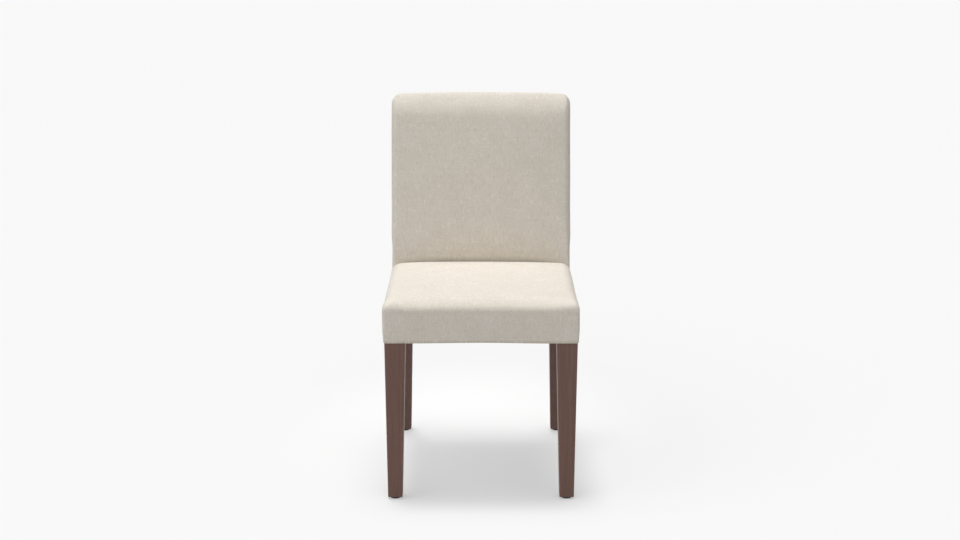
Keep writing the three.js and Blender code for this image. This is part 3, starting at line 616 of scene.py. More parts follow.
class SoftForm:
    """An upholstered block on its base: a rounded top edge, corners that are tighter than the
    edge, walls that draw in towards the base and a crowned top. Near its corners the edge is
    crisper, since the cloth is folded over the frame there. The near end is at the lowest y
    and the far end at the highest."""

    near_reach = 0.15  # how far from the near end its own roundings give way to the others
    relief, relief_reach = 0, 1  # how deep the top curls in at the near end, and how far on
    draw = pinch = taper = lift = bow = rim = 0
    profile = 2.0  # of the roundings: 2 is round, and more is squarer
    crown_power = near_crown_power = 2.2  # how flat the crown is before it falls
    far_crisp = False  # whether the far corners are crisp as well
    foot_share, draw_power = 0.6, 1.8  # how high up a wall its foot goes, and how it fades
    pinch_fade, pinch_height = 3.4, 0.03  # how soon the pinch ends, and where it is full
    relief_run = 0.71  # the share of its reach over which the relief grows
    cut_margin = 1.3  # the fine cuts go on past a rounding

    def __init__(self, low, high, **sizes):
        self.low, self.high = low, high
        self.__dict__.update(sizes)

    def inset(self, by, top_by):
        """The same form with its walls moved in and its top moved down."""
        sizes, least = dict(self.__dict__), 0.001
        step = Vector((by, by, 0))
        for name in ("side", "near_side", "near", "near_at_corner", "far", "far_at_corner"):
            sizes[name] = max(sizes[name] - by, least)
        for name in ("drop", "near_drop", "drop_at_corner"):
            sizes[name] = max(sizes[name] - top_by, least)
        sizes["far_corner"] = max(self.far_corner - by, least)
        sizes["low"] = self.low + step
        sizes["high"] = self.high - step - Vector((0, 0, top_by))
        return SoftForm(**sizes)

    def crispness(self, point):
        """1 at the corners of the top edge and 0 away from them."""
        x = smooth((abs(point.x) - (self.high.x - self.corner_reach)) / self.corner_reach)
        ends = [smooth(1 - (point.y - self.low.y) / self.corner_reach)]
        if self.far_crisp:
            ends.append(smooth(1 - (self.high.y - point.y) / self.corner_reach))
        return x * max(ends)

    def place(self, point):
        """Where a point of the plain box lies on the form."""
        low, high = self.low, self.high
        middle = (low.y + high.y) / 2
        crisp = self.crispness(point)
        near = mix(self.near, self.near_at_corner, crisp)
        far = mix(self.far, self.far_at_corner, crisp)
        up = smooth((point.y - low.y) / self.near_reach)
        side = mix(self.near_side, self.side, up)
        drop = mix(mix(self.near_drop, self.drop_at_corner, crisp), self.drop, up)
        inner = Vector(
            (
                clamp(point.x, low.x + side, high.x - side),
                clamp(point.y, low.y + near, high.y - far),
                min(point.z, high.z - drop),
            )
        )
        edges = Vector((side, near if point.y < middle else far, drop))
        d = Vector([(point[i] - inner[i]) / edges[i] for i in range(3)])
        foot = self.foot_share * (high.z - drop - low.z)
        share = clamp(1 - (point.z - low.z) / foot, 0, 1)
        power = mix(mix(self.wall_power, self.foot_power, share), self.top_power, d.z)
        profile = mix(self.profile, self.corner_profile, crisp)
        flat = (abs(d.x) ** power + abs(d.y) ** power) ** (1 / power)
        reach = (flat**profile + abs(d.z) ** profile) ** (1 / profile)
        if reach > 0:
            d /= reach
        placed = inner + Vector([d[i] * edges[i] for i in range(3)])
        placed.x, placed.y = round_corner(
            placed.x, placed.y, high.x, high.y, self.far_corner
        )
        # The walls draw in towards the base, more so at the very bottom.
        pull = self.draw * share**self.draw_power
        placed.x -= d.x * pull
        if d.y < 0:
            placed.y -= d.y * pull
        # At the very base they turn in with a small rounding.
        if self.rim > 0:
            t = clamp(1 - (point.z - low.z) / self.rim, 0, 1)
            turn = self.rim * (1 - math.sqrt(1 - t * t))
            placed.x -= d.x * turn
            placed.y -= d.y * turn
        # The face draws back at its foot, and its sides draw in there and towards the top.
        placed.z -= self.relief_at(point.x, point.y - low.y) * d.z
        low_down = smooth(self.pinch_fade * (1 - (point.y - low.y) / self.relief_reach))
        forward = smooth((point.z - low.z) / self.pinch_height)
        placed.x -= d.x * self.pinch * low_down * forward
        along = clamp((placed.y - low.y) / (high.y - low.y), 0, 1)
        placed.x *= 1 - self.taper / high.x * along
        # The top is crowned, and the far edge swells a little in its middle.
        u = clamp(abs(placed.x) / high.x, 0, 1)
        v = clamp(abs(placed.y - middle) / (high.y - middle), 0, 1)
        v_power = self.near_crown_power if placed.y < middle else self.crown_power
        placed.z += self.crown * d.z * (1 - u**self.crown_power) * (1 - v**v_power)
        placed.z += self.lift * d.z * (1 - u**4) * (1 - along) ** 2
        placed.y += self.bow * (1 - u**4) * smooth(along)
        return placed

    def relief_at(self, x, above):
        """How far the face is curled in, at a height above its foot."""
        near = clamp((1 - above / self.relief_reach) / self.relief_run, 0, 1)
        return self.relief * near**3 * (1 - min(abs(x) / self.high.x, 1) ** 4)

    def lines(self):
        """Where the plain box is cut, closely at its roundings and wider between them."""
        cloth = bpy.context.scene.chair_cloth
        fine, coarse = cloth.fine_grid, cloth.grid
        low, high = self.low, self.high
        side, near, far = [self.cut_margin * s for s in (self.side, self.near, self.far)]
        top = 1.2 * max(self.drop, self.near_drop)
        zones = [(side, side, fine), (near, far, fine)]
        if self.rim > 0:
            zones.append((self.rim, top, self.rim / 3))
        else:
            zones.append((self.drop * 0.3, top, fine))
        cuts = []
        for axis, (low_zone, high_zone, low_step) in enumerate(zones):
            start, end = low[axis], high[axis]
            places = steps_between(start, start + low_zone, low_step)
            places += steps_between(start + low_zone, end - high_zone, coarse)
            places += steps_between(end - high_zone, end, fine)
            cuts.append(places[1:])
        return cuts

    def mesh(self):
        bm = boxed(self.low, self.high, self.lines())
        for vert in bm.verts:
            vert.co = self.place(vert.co)
        bmesh.ops.recalc_face_normals(bm, faces=bm.faces)
        return bm


def swelled(bm, pinned):
    """Blows the cloth up a little with a cloth simulation. Pinned points stay. A point moves
    out by the swell at most, and hardly in, since the pad under it holds it. The quads at the
    edges are smaller and so stiffer than the others, which the blending evens out."""
    scene = bpy.context.scene
    limits, last_frame = scene.chair_cloth, 20
    mesh = bpy.data.meshes.new("trial")
    bm.to_mesh(mesh)
    trial = linked("trial", mesh)
    group = trial.vertex_groups.new(name="pinned")
    for index, weight in pinned.items():
        group.add([index], weight, "REPLACE")
    cloth = trial.modifiers.new("cloth", "CLOTH")
    settings = cloth.settings
    settings.vertex_group_mass = group.name
    settings.mass = 0.02
    settings.tension_stiffness = settings.compression_stiffness = 18
    settings.shear_stiffness = 8
    settings.bending_stiffness = 4
    settings.use_pressure = True
    settings.uniform_pressure_force = 4
    settings.effector_weights.gravity = 0
    cloth.collision_settings.use_collision = False
    for frame_number in range(1, last_frame + 1):
        scene.frame_set(frame_number)
    shaped = trial.evaluated_get(bpy.context.evaluated_depsgraph_get()).to_mesh()
    bm.normal_update()
    raised = [
        clamp((moved.co - vert.co).dot(vert.normal), -limits.sink, limits.swell)
        for vert, moved in zip(bm.verts, shaped.vertices)
    ]
    near = [[e.other_vert(vert).index for e in vert.link_edges] for vert in bm.verts]
    for _ in range(limits.blending):
        raised = [
            mix(out, sum(raised[i] for i in others) / len(others), 0.5)
            for out, others in zip(raised, near)
        ]
    for vert, out in zip(bm.verts, raised):
        vert.co += vert.normal * out * (1 - pinned[vert.index])
    scene.frame_set(1)
    bpy.data.objects.remove(trial)
    bpy.data.meshes.remove(mesh)


def roughened(bm, size, amount, seed):
    """Moves points a little along their normals, as padding is never quite even."""
    bm.normal_update()
    offset = Vector((seed, seed * 0.37, seed * 0.71))
    for vert in bm.verts:
        vert.co += vert.normal * amount * noise.noise(vert.co / size + offset)


def upholstered(form, seed):
    """The outer skin of a padded form, swelled by the cloth simulation."""
    cloth, free_height = bpy.context.scene.chair_cloth, 0.03
    start = form.inset(cloth.side_inset, cloth.top_inset)
    bm = start.mesh()
    foot = start.low.z
    pinned = {v.index: 1 - smooth((v.co.z - foot) / free_height) for v in bm.verts}
    swelled(bm, pinned)
    roughened(bm, size=0.09, amount=0.0007, seed=seed)
    return bm


def back_matrix():
    """The back's own frame: its face at y = 0, and z up along it from the bend."""
    back = bpy.context.scene.chair_back
    foot = (0, SEAT_HIGH.y - back.rim_depth, back.bend_height)
    return Matrix.Translation(foot) @ Matrix.Rotation(-back.rake, 4, "X")


def stand_up():
    """Turns a form that lies on its base so that it stands as the back, facing the front."""
    back = bpy.context.scene.chair_back
    upright = Matrix.Rotation(math.pi / 2, 4, "X")
    return back_matrix() @ Matrix.Translation((0, back.depth, 0)) @ upright


def seat_form():
    seat = bpy.context.scene.chair_seat
    return SoftForm(
        SEAT_LOW + Vector((0, 0, EDGE_ROUNDING)),
        Vector((SEAT_HIGH.x, SEAT_HIGH.y, seat.height)),
        side=seat.rear_side,
        near=seat.front_edge,
        near_at_corner=seat.corner_edge,
        far=seat.rear_edge,
        drop=seat.drop,
        near_drop=seat.front_drop,
        drop_at_corner=seat.corner_drop,
        near_side=seat.side_edge,
        far_at_corner=seat.rear_edge,
        far_corner=0.001,
        crown=seat.crown,
        near_crown_power=8,
        lift=seat.front_lift,
        draw=seat.draw,
        wall_power=4.4,
        foot_power=12,
        top_power=2.6,
        corner_profile=2.8,
        corner_reach=0.07,
    )


def back_form():
    back = bpy.context.scene.chair_back
    return SoftForm(
        Vector((BACK_LOW.x, 0, back.depth - back.rim_depth)),
        Vector((BACK_HIGH.x, back.side_length, back.depth)),
        side=back.side_edge,
        near=back.foot_edge,
        near_at_corner=back.foot_edge,
        far=back.top_edge,
        drop=back.drop,
        near_drop=back.foot_drop,
        drop_at_corner=back.foot_drop,
        near_side=back.foot_side,
        far_at_corner=back.corner_edge,
        far_corner=back.top_corner,
        relief=back.relief,
        relief_reach=back.relief_reach,
        pinch=back.pinch,
        taper=back.taper,
        rim=back.rear_edge,
        crown=back.crown,
        wall_power=3.6,
        foot_power=3.6,
        top_power=2.4,
        corner_profile=1.5,
        corner_reach=0.09,
        far_crisp=True,
        bow=back.bow,
    )


def thicken(piece, thickness, way=-1):
    """Gives a cloth its thickness, behind its face or, where the way is 1, before it."""
    wall = piece.modifiers.new("wall", "SOLIDIFY")
    wall.thickness = thickness
    wall.offset = way
    return wall


def shell(piece, thickness, rooms=None):
    """Smooths a skin and gives it its thickness inwards, less where there is less room."""
    smoothing = piece.modifiers.new("smoothing", "SUBSURF")
    smoothing.levels = smoothing.render_levels = 1
    wall = thicken(piece, thickness)
    if rooms:
        thinnest = 0.12
        group = piece.vertex_groups.new(name="loft")
        for index, room in enumerate(rooms):
            group.add([index], clamp(room / thickness, thinnest, 1), "REPLACE")
        wall.vertex_group = group.name


def delete_faces(bm, unwanted):
    doomed = [f for f in bm.faces if unwanted(f.calc_center_median())]
    bmesh.ops.delete(bm, geom=doomed, context="FACES")


def cut_for_back(bm, room):
    """Ends the seat's skin where the back stands: at the back's face, and under its foot."""
    place = back_matrix()
    turn = place.to_3x3()
    face_point, foot_point = place @ Vector((0, -room, 0)), place @ Vector((0, 0, -GAP))
    inwards, upwards = turn @ Vector((0, 1, 0)), turn @ Vector((0, 0, 1))
    slice_mesh(bm, face_point, inwards)
    slice_mesh(bm, foot_point, upwards)
    delete_faces(
        bm,
        lambda c: (c - face_point).dot(inwards) > 0 and (c - foot_point).dot(upwards) > 0,
    )
    return face_point, inwards, upwards


def extruded(bm, edges):
    """Draws open edges out. Gives each new point's old one, and the new edges."""
    made = bmesh.ops.extrude_edge_only(bm, edges=edges)["geom"]
    fresh = {g for g in made if isinstance(g, bmesh.types.BMVert)}
    source = {}
    for vert in fresh:
        others = (e.other_vert(vert) for e in vert.link_edges)
        source[vert] = next(v for v in others if v not in fresh)
    rim = [g for g in made if isinstance(g, bmesh.types.BMEdge) and set(g.verts) <= fresh]
    return source, rim


def tuck_down(bm, face_point, inwards, upwards):
    """Carries the top's rear edge on to the back's face, and down in front of it. Towards the
    sides it turns in behind the side of the seat instead."""
    form = back_form()
    first, second, reach = 0.0008, 0.010, 0.001
    side_from, side_over, side_step = 0.195, 0.02, 0.0022

    def at_back(vert):
        return abs((vert.co - face_point).dot(inwards)) < 1e-5

    edges = [e for e in bm.edges if e.is_boundary and all(at_back(v) for v in e.verts)]
    for drop in (first, second):
        source, edges = extruded(bm, edges)
        for vert in source:
            side = smooth((abs(vert.co.x) - side_from) / side_over)
            back = reach
            if drop == first:
                back += form.relief_at(vert.co.x, (vert.co - face_point).dot(upwards))
            vert.co += inwards * mix(back, side_step, side) - upwards * drop * (1 - side)
            vert.co.x -= math.copysign(side_step * side, vert.co.x)


def turn_under(bm, seat):
    """Carries the foot of the walls round a small rounding and in under the rails. Between
    the legs the edge is pulled up towards the rail, and it hangs lower at each leg."""
    # Marks the turned-under edge, which the linen paints darker as painted shade.
    fold = bm.verts.layers.float.new(FOLD_SHADE)
    foot, margin = SEAT_LOW.z + EDGE_ROUNDING, 0.002
    edges = [
        e for e in bm.edges if e.is_boundary and all(v.co.z < foot + margin for v in e.verts)
    ]
    bm.normal_update()
    ways = {}
    middle = (LEG_HIGH.y + POST_LOW.y) / 2
    for vert in {v for e in edges for v in e.verts}:
        ways[vert] = -Vector((vert.normal.x, vert.normal.y, 0)).normalized()
        if abs(vert.normal.x) > abs(vert.normal.y):
            share = abs(vert.co.y - middle) / (POST_LOW.y - middle)
        else:
            share = abs(vert.co.x) / LEG_LOW.x
        vert.co.z = foot - seat.sag - seat.hang * smooth(1.2 * share)
        vert[fold] = 1
    first_step, turns = 0.004, 4
    quarter = [math.pi / 2 * i / turns for i in range(turns + 1)]
    arc = [(EDGE_ROUNDING * math.cos(a), EDGE_ROUNDING * math.sin(a)) for a in quarter]
    steps = [(x - next_x, next_z - z) for (x, z), (next_x, next_z) in zip(arc, arc[1:])]
    for inwards, down in (*steps, (first_step, None), (seat.lip, None)):
        source, edges = extruded(bm, edges)
        for vert, old in source.items():
            vert.co += ways[old] * inwards
            vert.co.z = SEAT_LOW.z if down is None else vert.co.z - down
            vert[fold] = 1
        ways = {vert: ways[old] for vert, old in source.items()}


def open_foot(bm, under=0):
    """Opens the foot of the back's skin, which stands behind the seat's cover."""
    level, depth = under + 0.0015, 0.045
    delete_faces(bm, lambda c: c.y < level and c.z < depth)


def clear_legs(bm, front, rear):
    """Opens the lip round a pair of legs."""
    inner, outer = LEG_LOW.x - GAP, LEG_HIGH.x + GAP
    slice_along(bm, 0, (-inner, inner))
    slice_along(bm, 1, (front - GAP, rear + GAP))
    bm.normal_update()
    steep = 0.35  # the rounding's steeper faces stay, outside the leg
    doomed = []
    for face in bm.faces:
        c = face.calc_center_median()
        within = inner < abs(c.x) < outer and front - GAP < c.y < rear + GAP
        if within and c.z < SEAT_LOW.z + LIP_DEPTH and abs(face.normal.z) > steep:
            doomed.append(face)
    bmesh.ops.delete(bm, geom=doomed, context="FACES")


def drop_scraps(bm):
    """Deletes the bits that the cuts have left loose, and keeps the one large skin."""
    left, parts = set(bm.faces), []
    while left:
        reached = [left.pop()]
        for face in reached:
            beside = {f for e in face.edges for f in e.link_faces} & left
            left -= beside
            reached.extend(beside)
        parts.append(reached)
    parts.sort(key=len)
    scraps = [face for part in parts[:-1] for face in part]
    bmesh.ops.delete(bm, geom=scraps, context="FACES")


def smallest_room(co, form, frame_half, layer):
    """How far a point lies outside the block that the batting wraps."""
    return max(
        abs(co.x) - frame_half,
        form.low.y + layer.y - co.y,
        co.y - (form.high.y - layer.y) if form.rim > 0 else -1,
        co.z - (form.high.z - layer.z),
    )


class RearPanel:
    """The outside back: one flat cloth, u across and v up from its hem, which lies under the
    rear rail, up the back of the chair, over the bend and up the rake to the head."""

    def __init__(self):
        back = bpy.context.scene.chair_back
        self.half, self.lip = PANEL_HIGH.x, 0.014
        self.roll, self.roll_depth = 0.0035, 0.0009  # of the sides, where they are sewn
        rounding, bend, roll, roll_turn = EDGE_ROUNDING, 0.03, 0.0015, 1.2
        tangent = bend * math.tan(back.rake / 2)
        mitre = back.depth * math.tan(back.rake / 2)
        head = back.side_length - back.rear_edge
        self.wall = back.bend_height - mitre - tangent - PANEL_LOW.z - rounding
        self.wall += mitre * (1 - math.cos(back.rake)) / math.cos(back.rake)
        self.segments = (
            (self.lip, 0),
            (rounding * math.pi / 2, math.pi / 2),
            (self.wall, 0),
            (bend * back.rake, -back.rake),
            (head - mitre - tangent - roll, 0),
            (roll * roll_turn, roll_turn),
        )
        self.rake_run = 4  # the stretch that grows where the top bows
        self.length = sum(length for length, turn in self.segments)
        self.bend_at = sum(length for length, turn in self.segments[: self.rake_run])
        rear = SEAT_HIGH.y - back.rim_depth + back.depth
        self.start = (rear - rounding - self.lip, PANEL_LOW.z)
        self.corner = back.top_corner - back.rear_edge
        self.bow, self.taper = back.bow, back.taper

    def place(self, u, v):
        """Where a point of the flat cloth lies on the chair."""
        u, v = round_corner(u, v, self.half, self.length, self.corner)
        share = clamp((v - self.bend_at) / (self.length - self.bend_at), 0, 1)
        left = v
        stretch = self.bow * (1 - (u / self.half) ** 4) * share
        u *= 1 - self.taper * share / self.half
        (y, z), heading = self.start, 0
        for index, (length, turn) in enumerate(self.segments):
            step = min(left, length)
            part = turn * step / length
            along = step + (stretch if index == self.rake_run else 0)
            if turn:
                radius = length / turn
                y += radius * (math.sin(heading + part) - math.sin(heading))
                z -= radius * (math.cos(heading + part) - math.cos(heading))
            else:
                y += math.cos(heading) * along
                z += math.sin(heading) * along
            heading += part
            left -= step
            if left <= 0:
                break
        # The sides roll in a little, where they are sewn to the cover.
        roll = 0
        if v >= self.lip:
            share = clamp((abs(u) - self.half + self.roll) / self.roll, 0, 1)
            roll = self.roll_depth * share**2
        return Vector((u, y - math.sin(heading) * roll, z + math.cos(heading) * roll))


class CHAIR_OT_stage(bpy.types.Operator):
    """Set the camera, the floor and the lights"""

    bl_idname = "chair.stage"
    bl_label = "Stage"

    def execute(self, context):
        scene, stage = context.scene, context.scene.chair_stage
        camera = linked("camera", bpy.data.cameras.new("camera"))
        camera.data.lens = stage.lens
        camera.data.sensor_width = 36
        camera.data.clip_end = 200
        camera.location = stage.eye
        camera.rotation_euler = (math.pi / 2 - stage.pitch, 0, 0)
        scene.camera = camera
        scene.view_settings.view_transform = "Standard"
        self.make_floor(scene)
        self.make_lights(scene, stage)
        return {"FINISHED"}

    def make_floor(self, scene):
        bm = bmesh.new()
        bmesh.ops.create_grid(bm, x_segments=8, y_segments=8, size=60)
        floor = linked("floor", meshed("floor", bm))
        floor.data.materials.append(self.floor_paint(scene.chair_colours.floor))

    def floor_paint(self, tone):
        """White studio floor: matt and pale by its own colour. It keeps the soft shadow, and a
        painted pool of light makes it a little brighter close round the chair."""
        material = bpy.data.materials.new("painted_floor")
        material.use_nodes = True
        tree = material.node_tree
        tree.nodes.clear()
        # Painted light: the floor's own glow is stronger close round the chair, a painted pool
        # of light.
        place = {"Location": (0, -0.208, 0), "Scale": (1.05, 0.8, 1)}
        reach, near_glow, far_glow = 0.62, 0.57, 0.408
        lit_share, bounce_share = 0.52, 0.64
        pool_place = node(tree, "Mapping", {0: node(tree, "TexCoord", out="Object"), **place})
        far = node(tree, "VectorMath", {0: pool_place}, "Value", operation="LENGTH")
        fade = {0: far, 1: 0.0, 2: reach, 3: near_glow, 4: far_glow}
        glow = node(tree, "MapRange", fade, interpolation_type="SMOOTHSTEP")
        own = node(tree, "Emission", {0: rgba(tone), 1: glow})
        lit = node(tree, "BsdfDiffuse", {0: rgba([lit_share * c for c in tone])})
        seen = node(tree, "AddShader", {0: lit, 1: own})
        bounce = node(tree, "BsdfDiffuse", {0: rgba([bounce_share * c for c in tone])})
        plain = node(tree, "Emission", {0: rgba(tone), 1: 1.0})
        whole = self.shown_to(tree, seen, bounce, plain)
        # From below one looks through the floor, at the underside of the chair.
        below = node(tree, "NewGeometry", out="Backfacing")
        through = node(tree, "BsdfTransparent")
        whole = node(tree, "MixShader", {0: below, 1: whole, 2: through})
        node(tree, "OutputMaterial", {0: whole})
        return material

    def shown_to(self, tree, camera, light, mirrored):
        """What the camera sees, what lights the chair and what gloss and glass show."""
        whole = light
        for ray, part in (
            ("Is Glossy Ray", mirrored),
            ("Is Transmission Ray", mirrored),
            ("Is Camera Ray", camera),
        ):
            share = node(tree, "LightPath", out=ray)
            whole = node(tree, "MixShader", {0: share, 1: whole, 2: part})
        return whole

    def make_lights(self, scene, stage):
        # Two lights side by side hang overhead, a little behind the chair, and make the shadow
        # under the seat. The wide one in front fills the back and the seat's front, and a
        # weak one on the left parts the left side from the right.
        for name, strength, wide, turn in (
            ("top_light_left", stage.top_light / 2, 12, (-5.4, -4.5)),
            ("top_light_right", stage.top_light / 2, 28, (-5.4, 1.5)),
            ("front_light", stage.front_light, 85, (21, -13)),
            ("side_light", stage.side_light, 60, (8, -74)),
        ):
            lamp = linked(name, bpy.data.lights.new(name, "SUN"))
            lamp.data.energy = strength
            lamp.data.angle = math.radians(wide)
            lamp.rotation_euler = [math.radians(t) for t in (*turn, 0)]
        world = bpy.data.worlds.new("studio")
        world.use_nodes = True
        scene.world = world
        tree = world.node_tree
        tree.nodes.clear()
        fill = node(tree, "Background", {0: (1, 1, 1, 1), 1: stage.fill})
        shown = node(tree, "Background", {0: rgba(scene.chair_colours.floor), 1: 1.0})
        node(tree, "OutputWorld", {0: self.shown_to(tree, shown, fill, shown)})


class CHAIR_OT_frame_finishes(bpy.types.Operator):
    """Give the wood, the springs, the fastenings and the boards their finishes"""

    bl_idname = "chair.frame_finishes"
    bl_label = "Frame finishes"

    makers = (
        (stained_wood, ("front_leg", "rear_leg")),
        (side_rail_wood, ("side_rail",)),
        (spring_steel, ("seat_spring",)),
        (zinc, ("front_spring", "rear_spring", "front_block", "rear_block")),
        (zinc, ("front_glide_nail", "rear_glide_nail")),
        (board, ("back_board", "back_tack")),
    )

    def execute(self, context):
        colours = context.scene.chair_colours
        for name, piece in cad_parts.items():
            fitting = (maker for maker, starts in self.makers if name.startswith(starts))
            piece.data.materials.clear()
            piece.data.materials.append(next(fitting, frame_wood)(colours))
        return {"FINISHED"}


class CHAIR_OT_glides(bpy.types.Operator):
    """Make the four turned glides"""

    bl_idname = "chair.glides"
    bl_label = "Glides"

    # Radius and height, from the nail's hole down, under the foot and up to its rim.
    profile = (
        (0.0017, 0.0057),
        (0.0017, 0.0025),
        (0.0045, 0.0025),
        (0.0045, 0.0003),
        (0.0048, 0.0),
        (0.0118, 0.0),
        (0.0124, 0.0003),
        (0.0128, 0.0008),
        (0.0130, 0.0015),
        (0.0130, 0.0050),
        (0.0127, 0.0056),
        (0.0124, 0.0057),
    )

    def execute(self, context):
        for name in [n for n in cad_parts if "_glide_" in n and "nail" not in n]:
            low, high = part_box(name)
            bm = bmesh.new()
            points = [bm.verts.new((r, 0, z)) for r, z in self.profile]
            edges = [bm.edges.new(pair) for pair in zip(points, points[1:] + points[:1])]
            turn = {"axis": (0, 0, 1), "angle": 2 * math.pi, "steps": 40, "use_merge": True}
            bmesh.ops.spin(bm, geom=points + edges, **turn)
            bmesh.ops.remove_doubles(bm, verts=bm.verts, dist=1e-6)
            bmesh.ops.recalc_face_normals(bm, faces=bm.faces)
            middle = (low + high) / 2
            bmesh.ops.translate(bm, vec=(middle.x, middle.y, low.z), verts=bm.verts)
            paint = nylon(context.scene.chair_colours)
            piece = new_piece(name.replace("glide", "turned_glide"), bm, paint, 35)
            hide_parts(name)
        return {"FINISHED"}


class CHAIR_OT_seat_cover(bpy.types.Operator):
    """Make the seat's cover"""

    bl_idname = "chair.seat_cover"
    bl_label = "Seat cover"

    def execute(self, context):
        scene, seat = context.scene, context.scene.chair_seat
        bm = upholstered(seat_form(), 3)
        tuck_down(bm, *cut_for_back(bm, -2 * GAP))
        turn_under(bm, seat)
        clear_legs(bm, LEG_LOW.y, LEG_HIGH.y)
        clear_legs(bm, POST_LOW.y, SEAT_HIGH.y + seat.lip)
        self.clear_rear(bm, seat)
        drop_scraps(bm)
        piece = new_piece("seat_cover_linen", bm, linen(scene.chair_colours))
        shell(piece, scene.chair_cloth.thickness)
        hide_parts("seat_cover")
        return {"FINISHED"}

    def clear_rear(self, bm, seat):
        """Opens the rear, where the outside back covers the rail and its underside."""
        half, margin = PANEL_HIGH.x + GAP, 0.002
        behind, under = SEAT_HIGH.y - margin, SEAT_HIGH.y - seat.lip - margin
        low = SEAT_LOW.z + LIP_DEPTH
        slice_along(bm, 0, (-half, half))
        delete_faces(
            bm, lambda c: abs(c.x) < half and (c.y > behind or (c.y > under and c.z < low))
        )


class CHAIR_OT_back_cover(bpy.types.Operator):
    """Make the cover of the back's face, top and sides"""

    bl_idname = "chair.back_cover"
    bl_label = "Back cover"

    foot_level, foot_side = 0.004, 0.222  # the foot of a side lies below and beyond these
    tuck_face = 0.2283  # the outer side of the cloth behind the seat's cover
    tucks = (0.0012, 0.008)  # how far down, in two steps

    def execute(self, context):
        scene = context.scene
        bm = upholstered(back_form(), 11)
        open_foot(bm)
        self.tuck_sides(bm)
        bmesh.ops.transform(bm, matrix=stand_up(), verts=bm.verts)
        piece = new_piece("back_cover_linen", bm, linen(scene.chair_colours))
        shell(piece, scene.chair_cloth.thickness)
        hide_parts("back_cover")
        return {"FINISHED"}

    def tuck_sides(self, bm):
        """Carries the foot of each side down behind the seat's cover."""

        def at_foot(vert):
            return vert.co.y < self.foot_level and abs(vert.co.x) > self.foot_side

        edges = [e for e in bm.edges if e.is_boundary and all(at_foot(v) for v in e.verts)]
        for drop in self.tucks:
            source, edges = extruded(bm, edges)
            for vert in source:
                vert.co.x = clamp(vert.co.x, -self.tuck_face, self.tuck_face)
                vert.co.y -= drop


class CHAIR_OT_padding(bpy.types.Operator):
    """Make the batting, the foam and the felt under the covers"""

    bl_idname = "chair.padding"
    bl_label = "Padding"

    def execute(self, context):
        scene = context.scene
        under = scene.chair_cloth.thickness + scene.chair_cloth.ease
        self.make_seat_batting(scene, under)
        self.make_back_batting(scene, under)
        self.finish_foam(scene, "seat_foam", copied("seat_foam"))
        self.make_back_foam(scene, under)
        self.make_felt(scene)
        return {"FINISHED"}

    def make_seat_batting(self, scene, under):
        """A fleece that ends a little above the rails' underside."""
        form = seat_form().inset(under, under)
        bm = self.fleece(form)
        cut_for_back(bm, 2 * GAP)
        level, rear = SEAT_LOW.z + 0.022, SEAT_HIGH.y - 0.004
        slice_along(bm, 2, (level,))
        delete_faces(bm, lambda c: c.z < level or c.y > rear)
        self.finish_batting(scene, "seat_batting", bm, form, scene.chair_seat.batting)

    def make_back_batting(self, scene, under):
        form = back_form().inset(under, under)
        bm = self.fleece(form)
        open_foot(bm, under)
        thickness = scene.chair_back.batting
        self.finish_batting(scene, "back_batting", bm, form, thickness, stand_up())

    def fleece(self, form):
        """The skin of a layer of batting, with its small tufts."""
        bm = form.mesh()
        roughened(bm, size=0.012, amount=0.0002, seed=5)
        return bm

    def finish_batting(self, scene, name, bm, form, thickness, place=Matrix()):
        half = RAIL_FACE + GAP
        layer = Vector((0, thickness, thickness))
        rooms = [smallest_room(v.co, form, half, layer) for v in bm.verts]
        bmesh.ops.transform(bm, matrix=place, verts=bm.verts)
        piece = new_piece(name + "_fleece", bm, batting(scene.chair_colours))
        shell(piece, thickness, rooms)
        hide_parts(name)

    def make_back_foam(self, scene, under):
        """The foam keeps clear of the batting where the face curls in and the top rounds."""
        place, back = back_matrix(), scene.chair_back
        form = back_form()
        under += back.batting + GAP
        end, face_zone, top_zone = back.side_length - under, 0.02, 0.03
        rows, columns = 6, 8
        bm = copied("back_foam")
        bmesh.ops.transform(bm, matrix=place.inverted(), verts=bm.verts)
        slice_along(bm, 2, [back.relief_reach * i / rows for i in range(1, rows + 1)])
        slice_along(bm, 0, [RAIL_FACE * i / columns for i in range(1 - columns, columns)])
        for vert in bm.verts:
            x, y, z = vert.co
            if y < face_zone:
                vert.co.y = max(y, under + form.relief_at(x, z))
            z = min(z, end) if z > end - top_zone else z
            vert.co.x, vert.co.z = round_corner(x, z, RAIL_FACE, end, back.top_corner - under)
        bmesh.ops.transform(bm, matrix=place, verts=bm.verts)
        self.finish_foam(scene, "back_foam", bm)

    def finish_foam(self, scene, name, bm):
        piece = new_piece(name + "_block", bm, foam(scene.chair_colours), 40)
        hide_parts(name)

    def make_felt(self, scene):
        """A sheet that sinks a little between the springs."""
        quad, depth, ripple = 0.02, 0.0004, 0.05
        bm = copied("spring_felt_pad")
        low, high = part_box("spring_felt_pad")
        for axis in (0, 1):
            slice_along(bm, axis, steps_between(low[axis], high[axis], quad)[1:])
        for vert in bm.verts:
            vert.co.z += depth * noise.noise(vert.co / ripple + Vector((4, 2, 7)))
        piece = new_piece("spring_felt_sheet", bm, felt(scene.chair_colours), 40)
        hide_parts("spring_felt_pad")


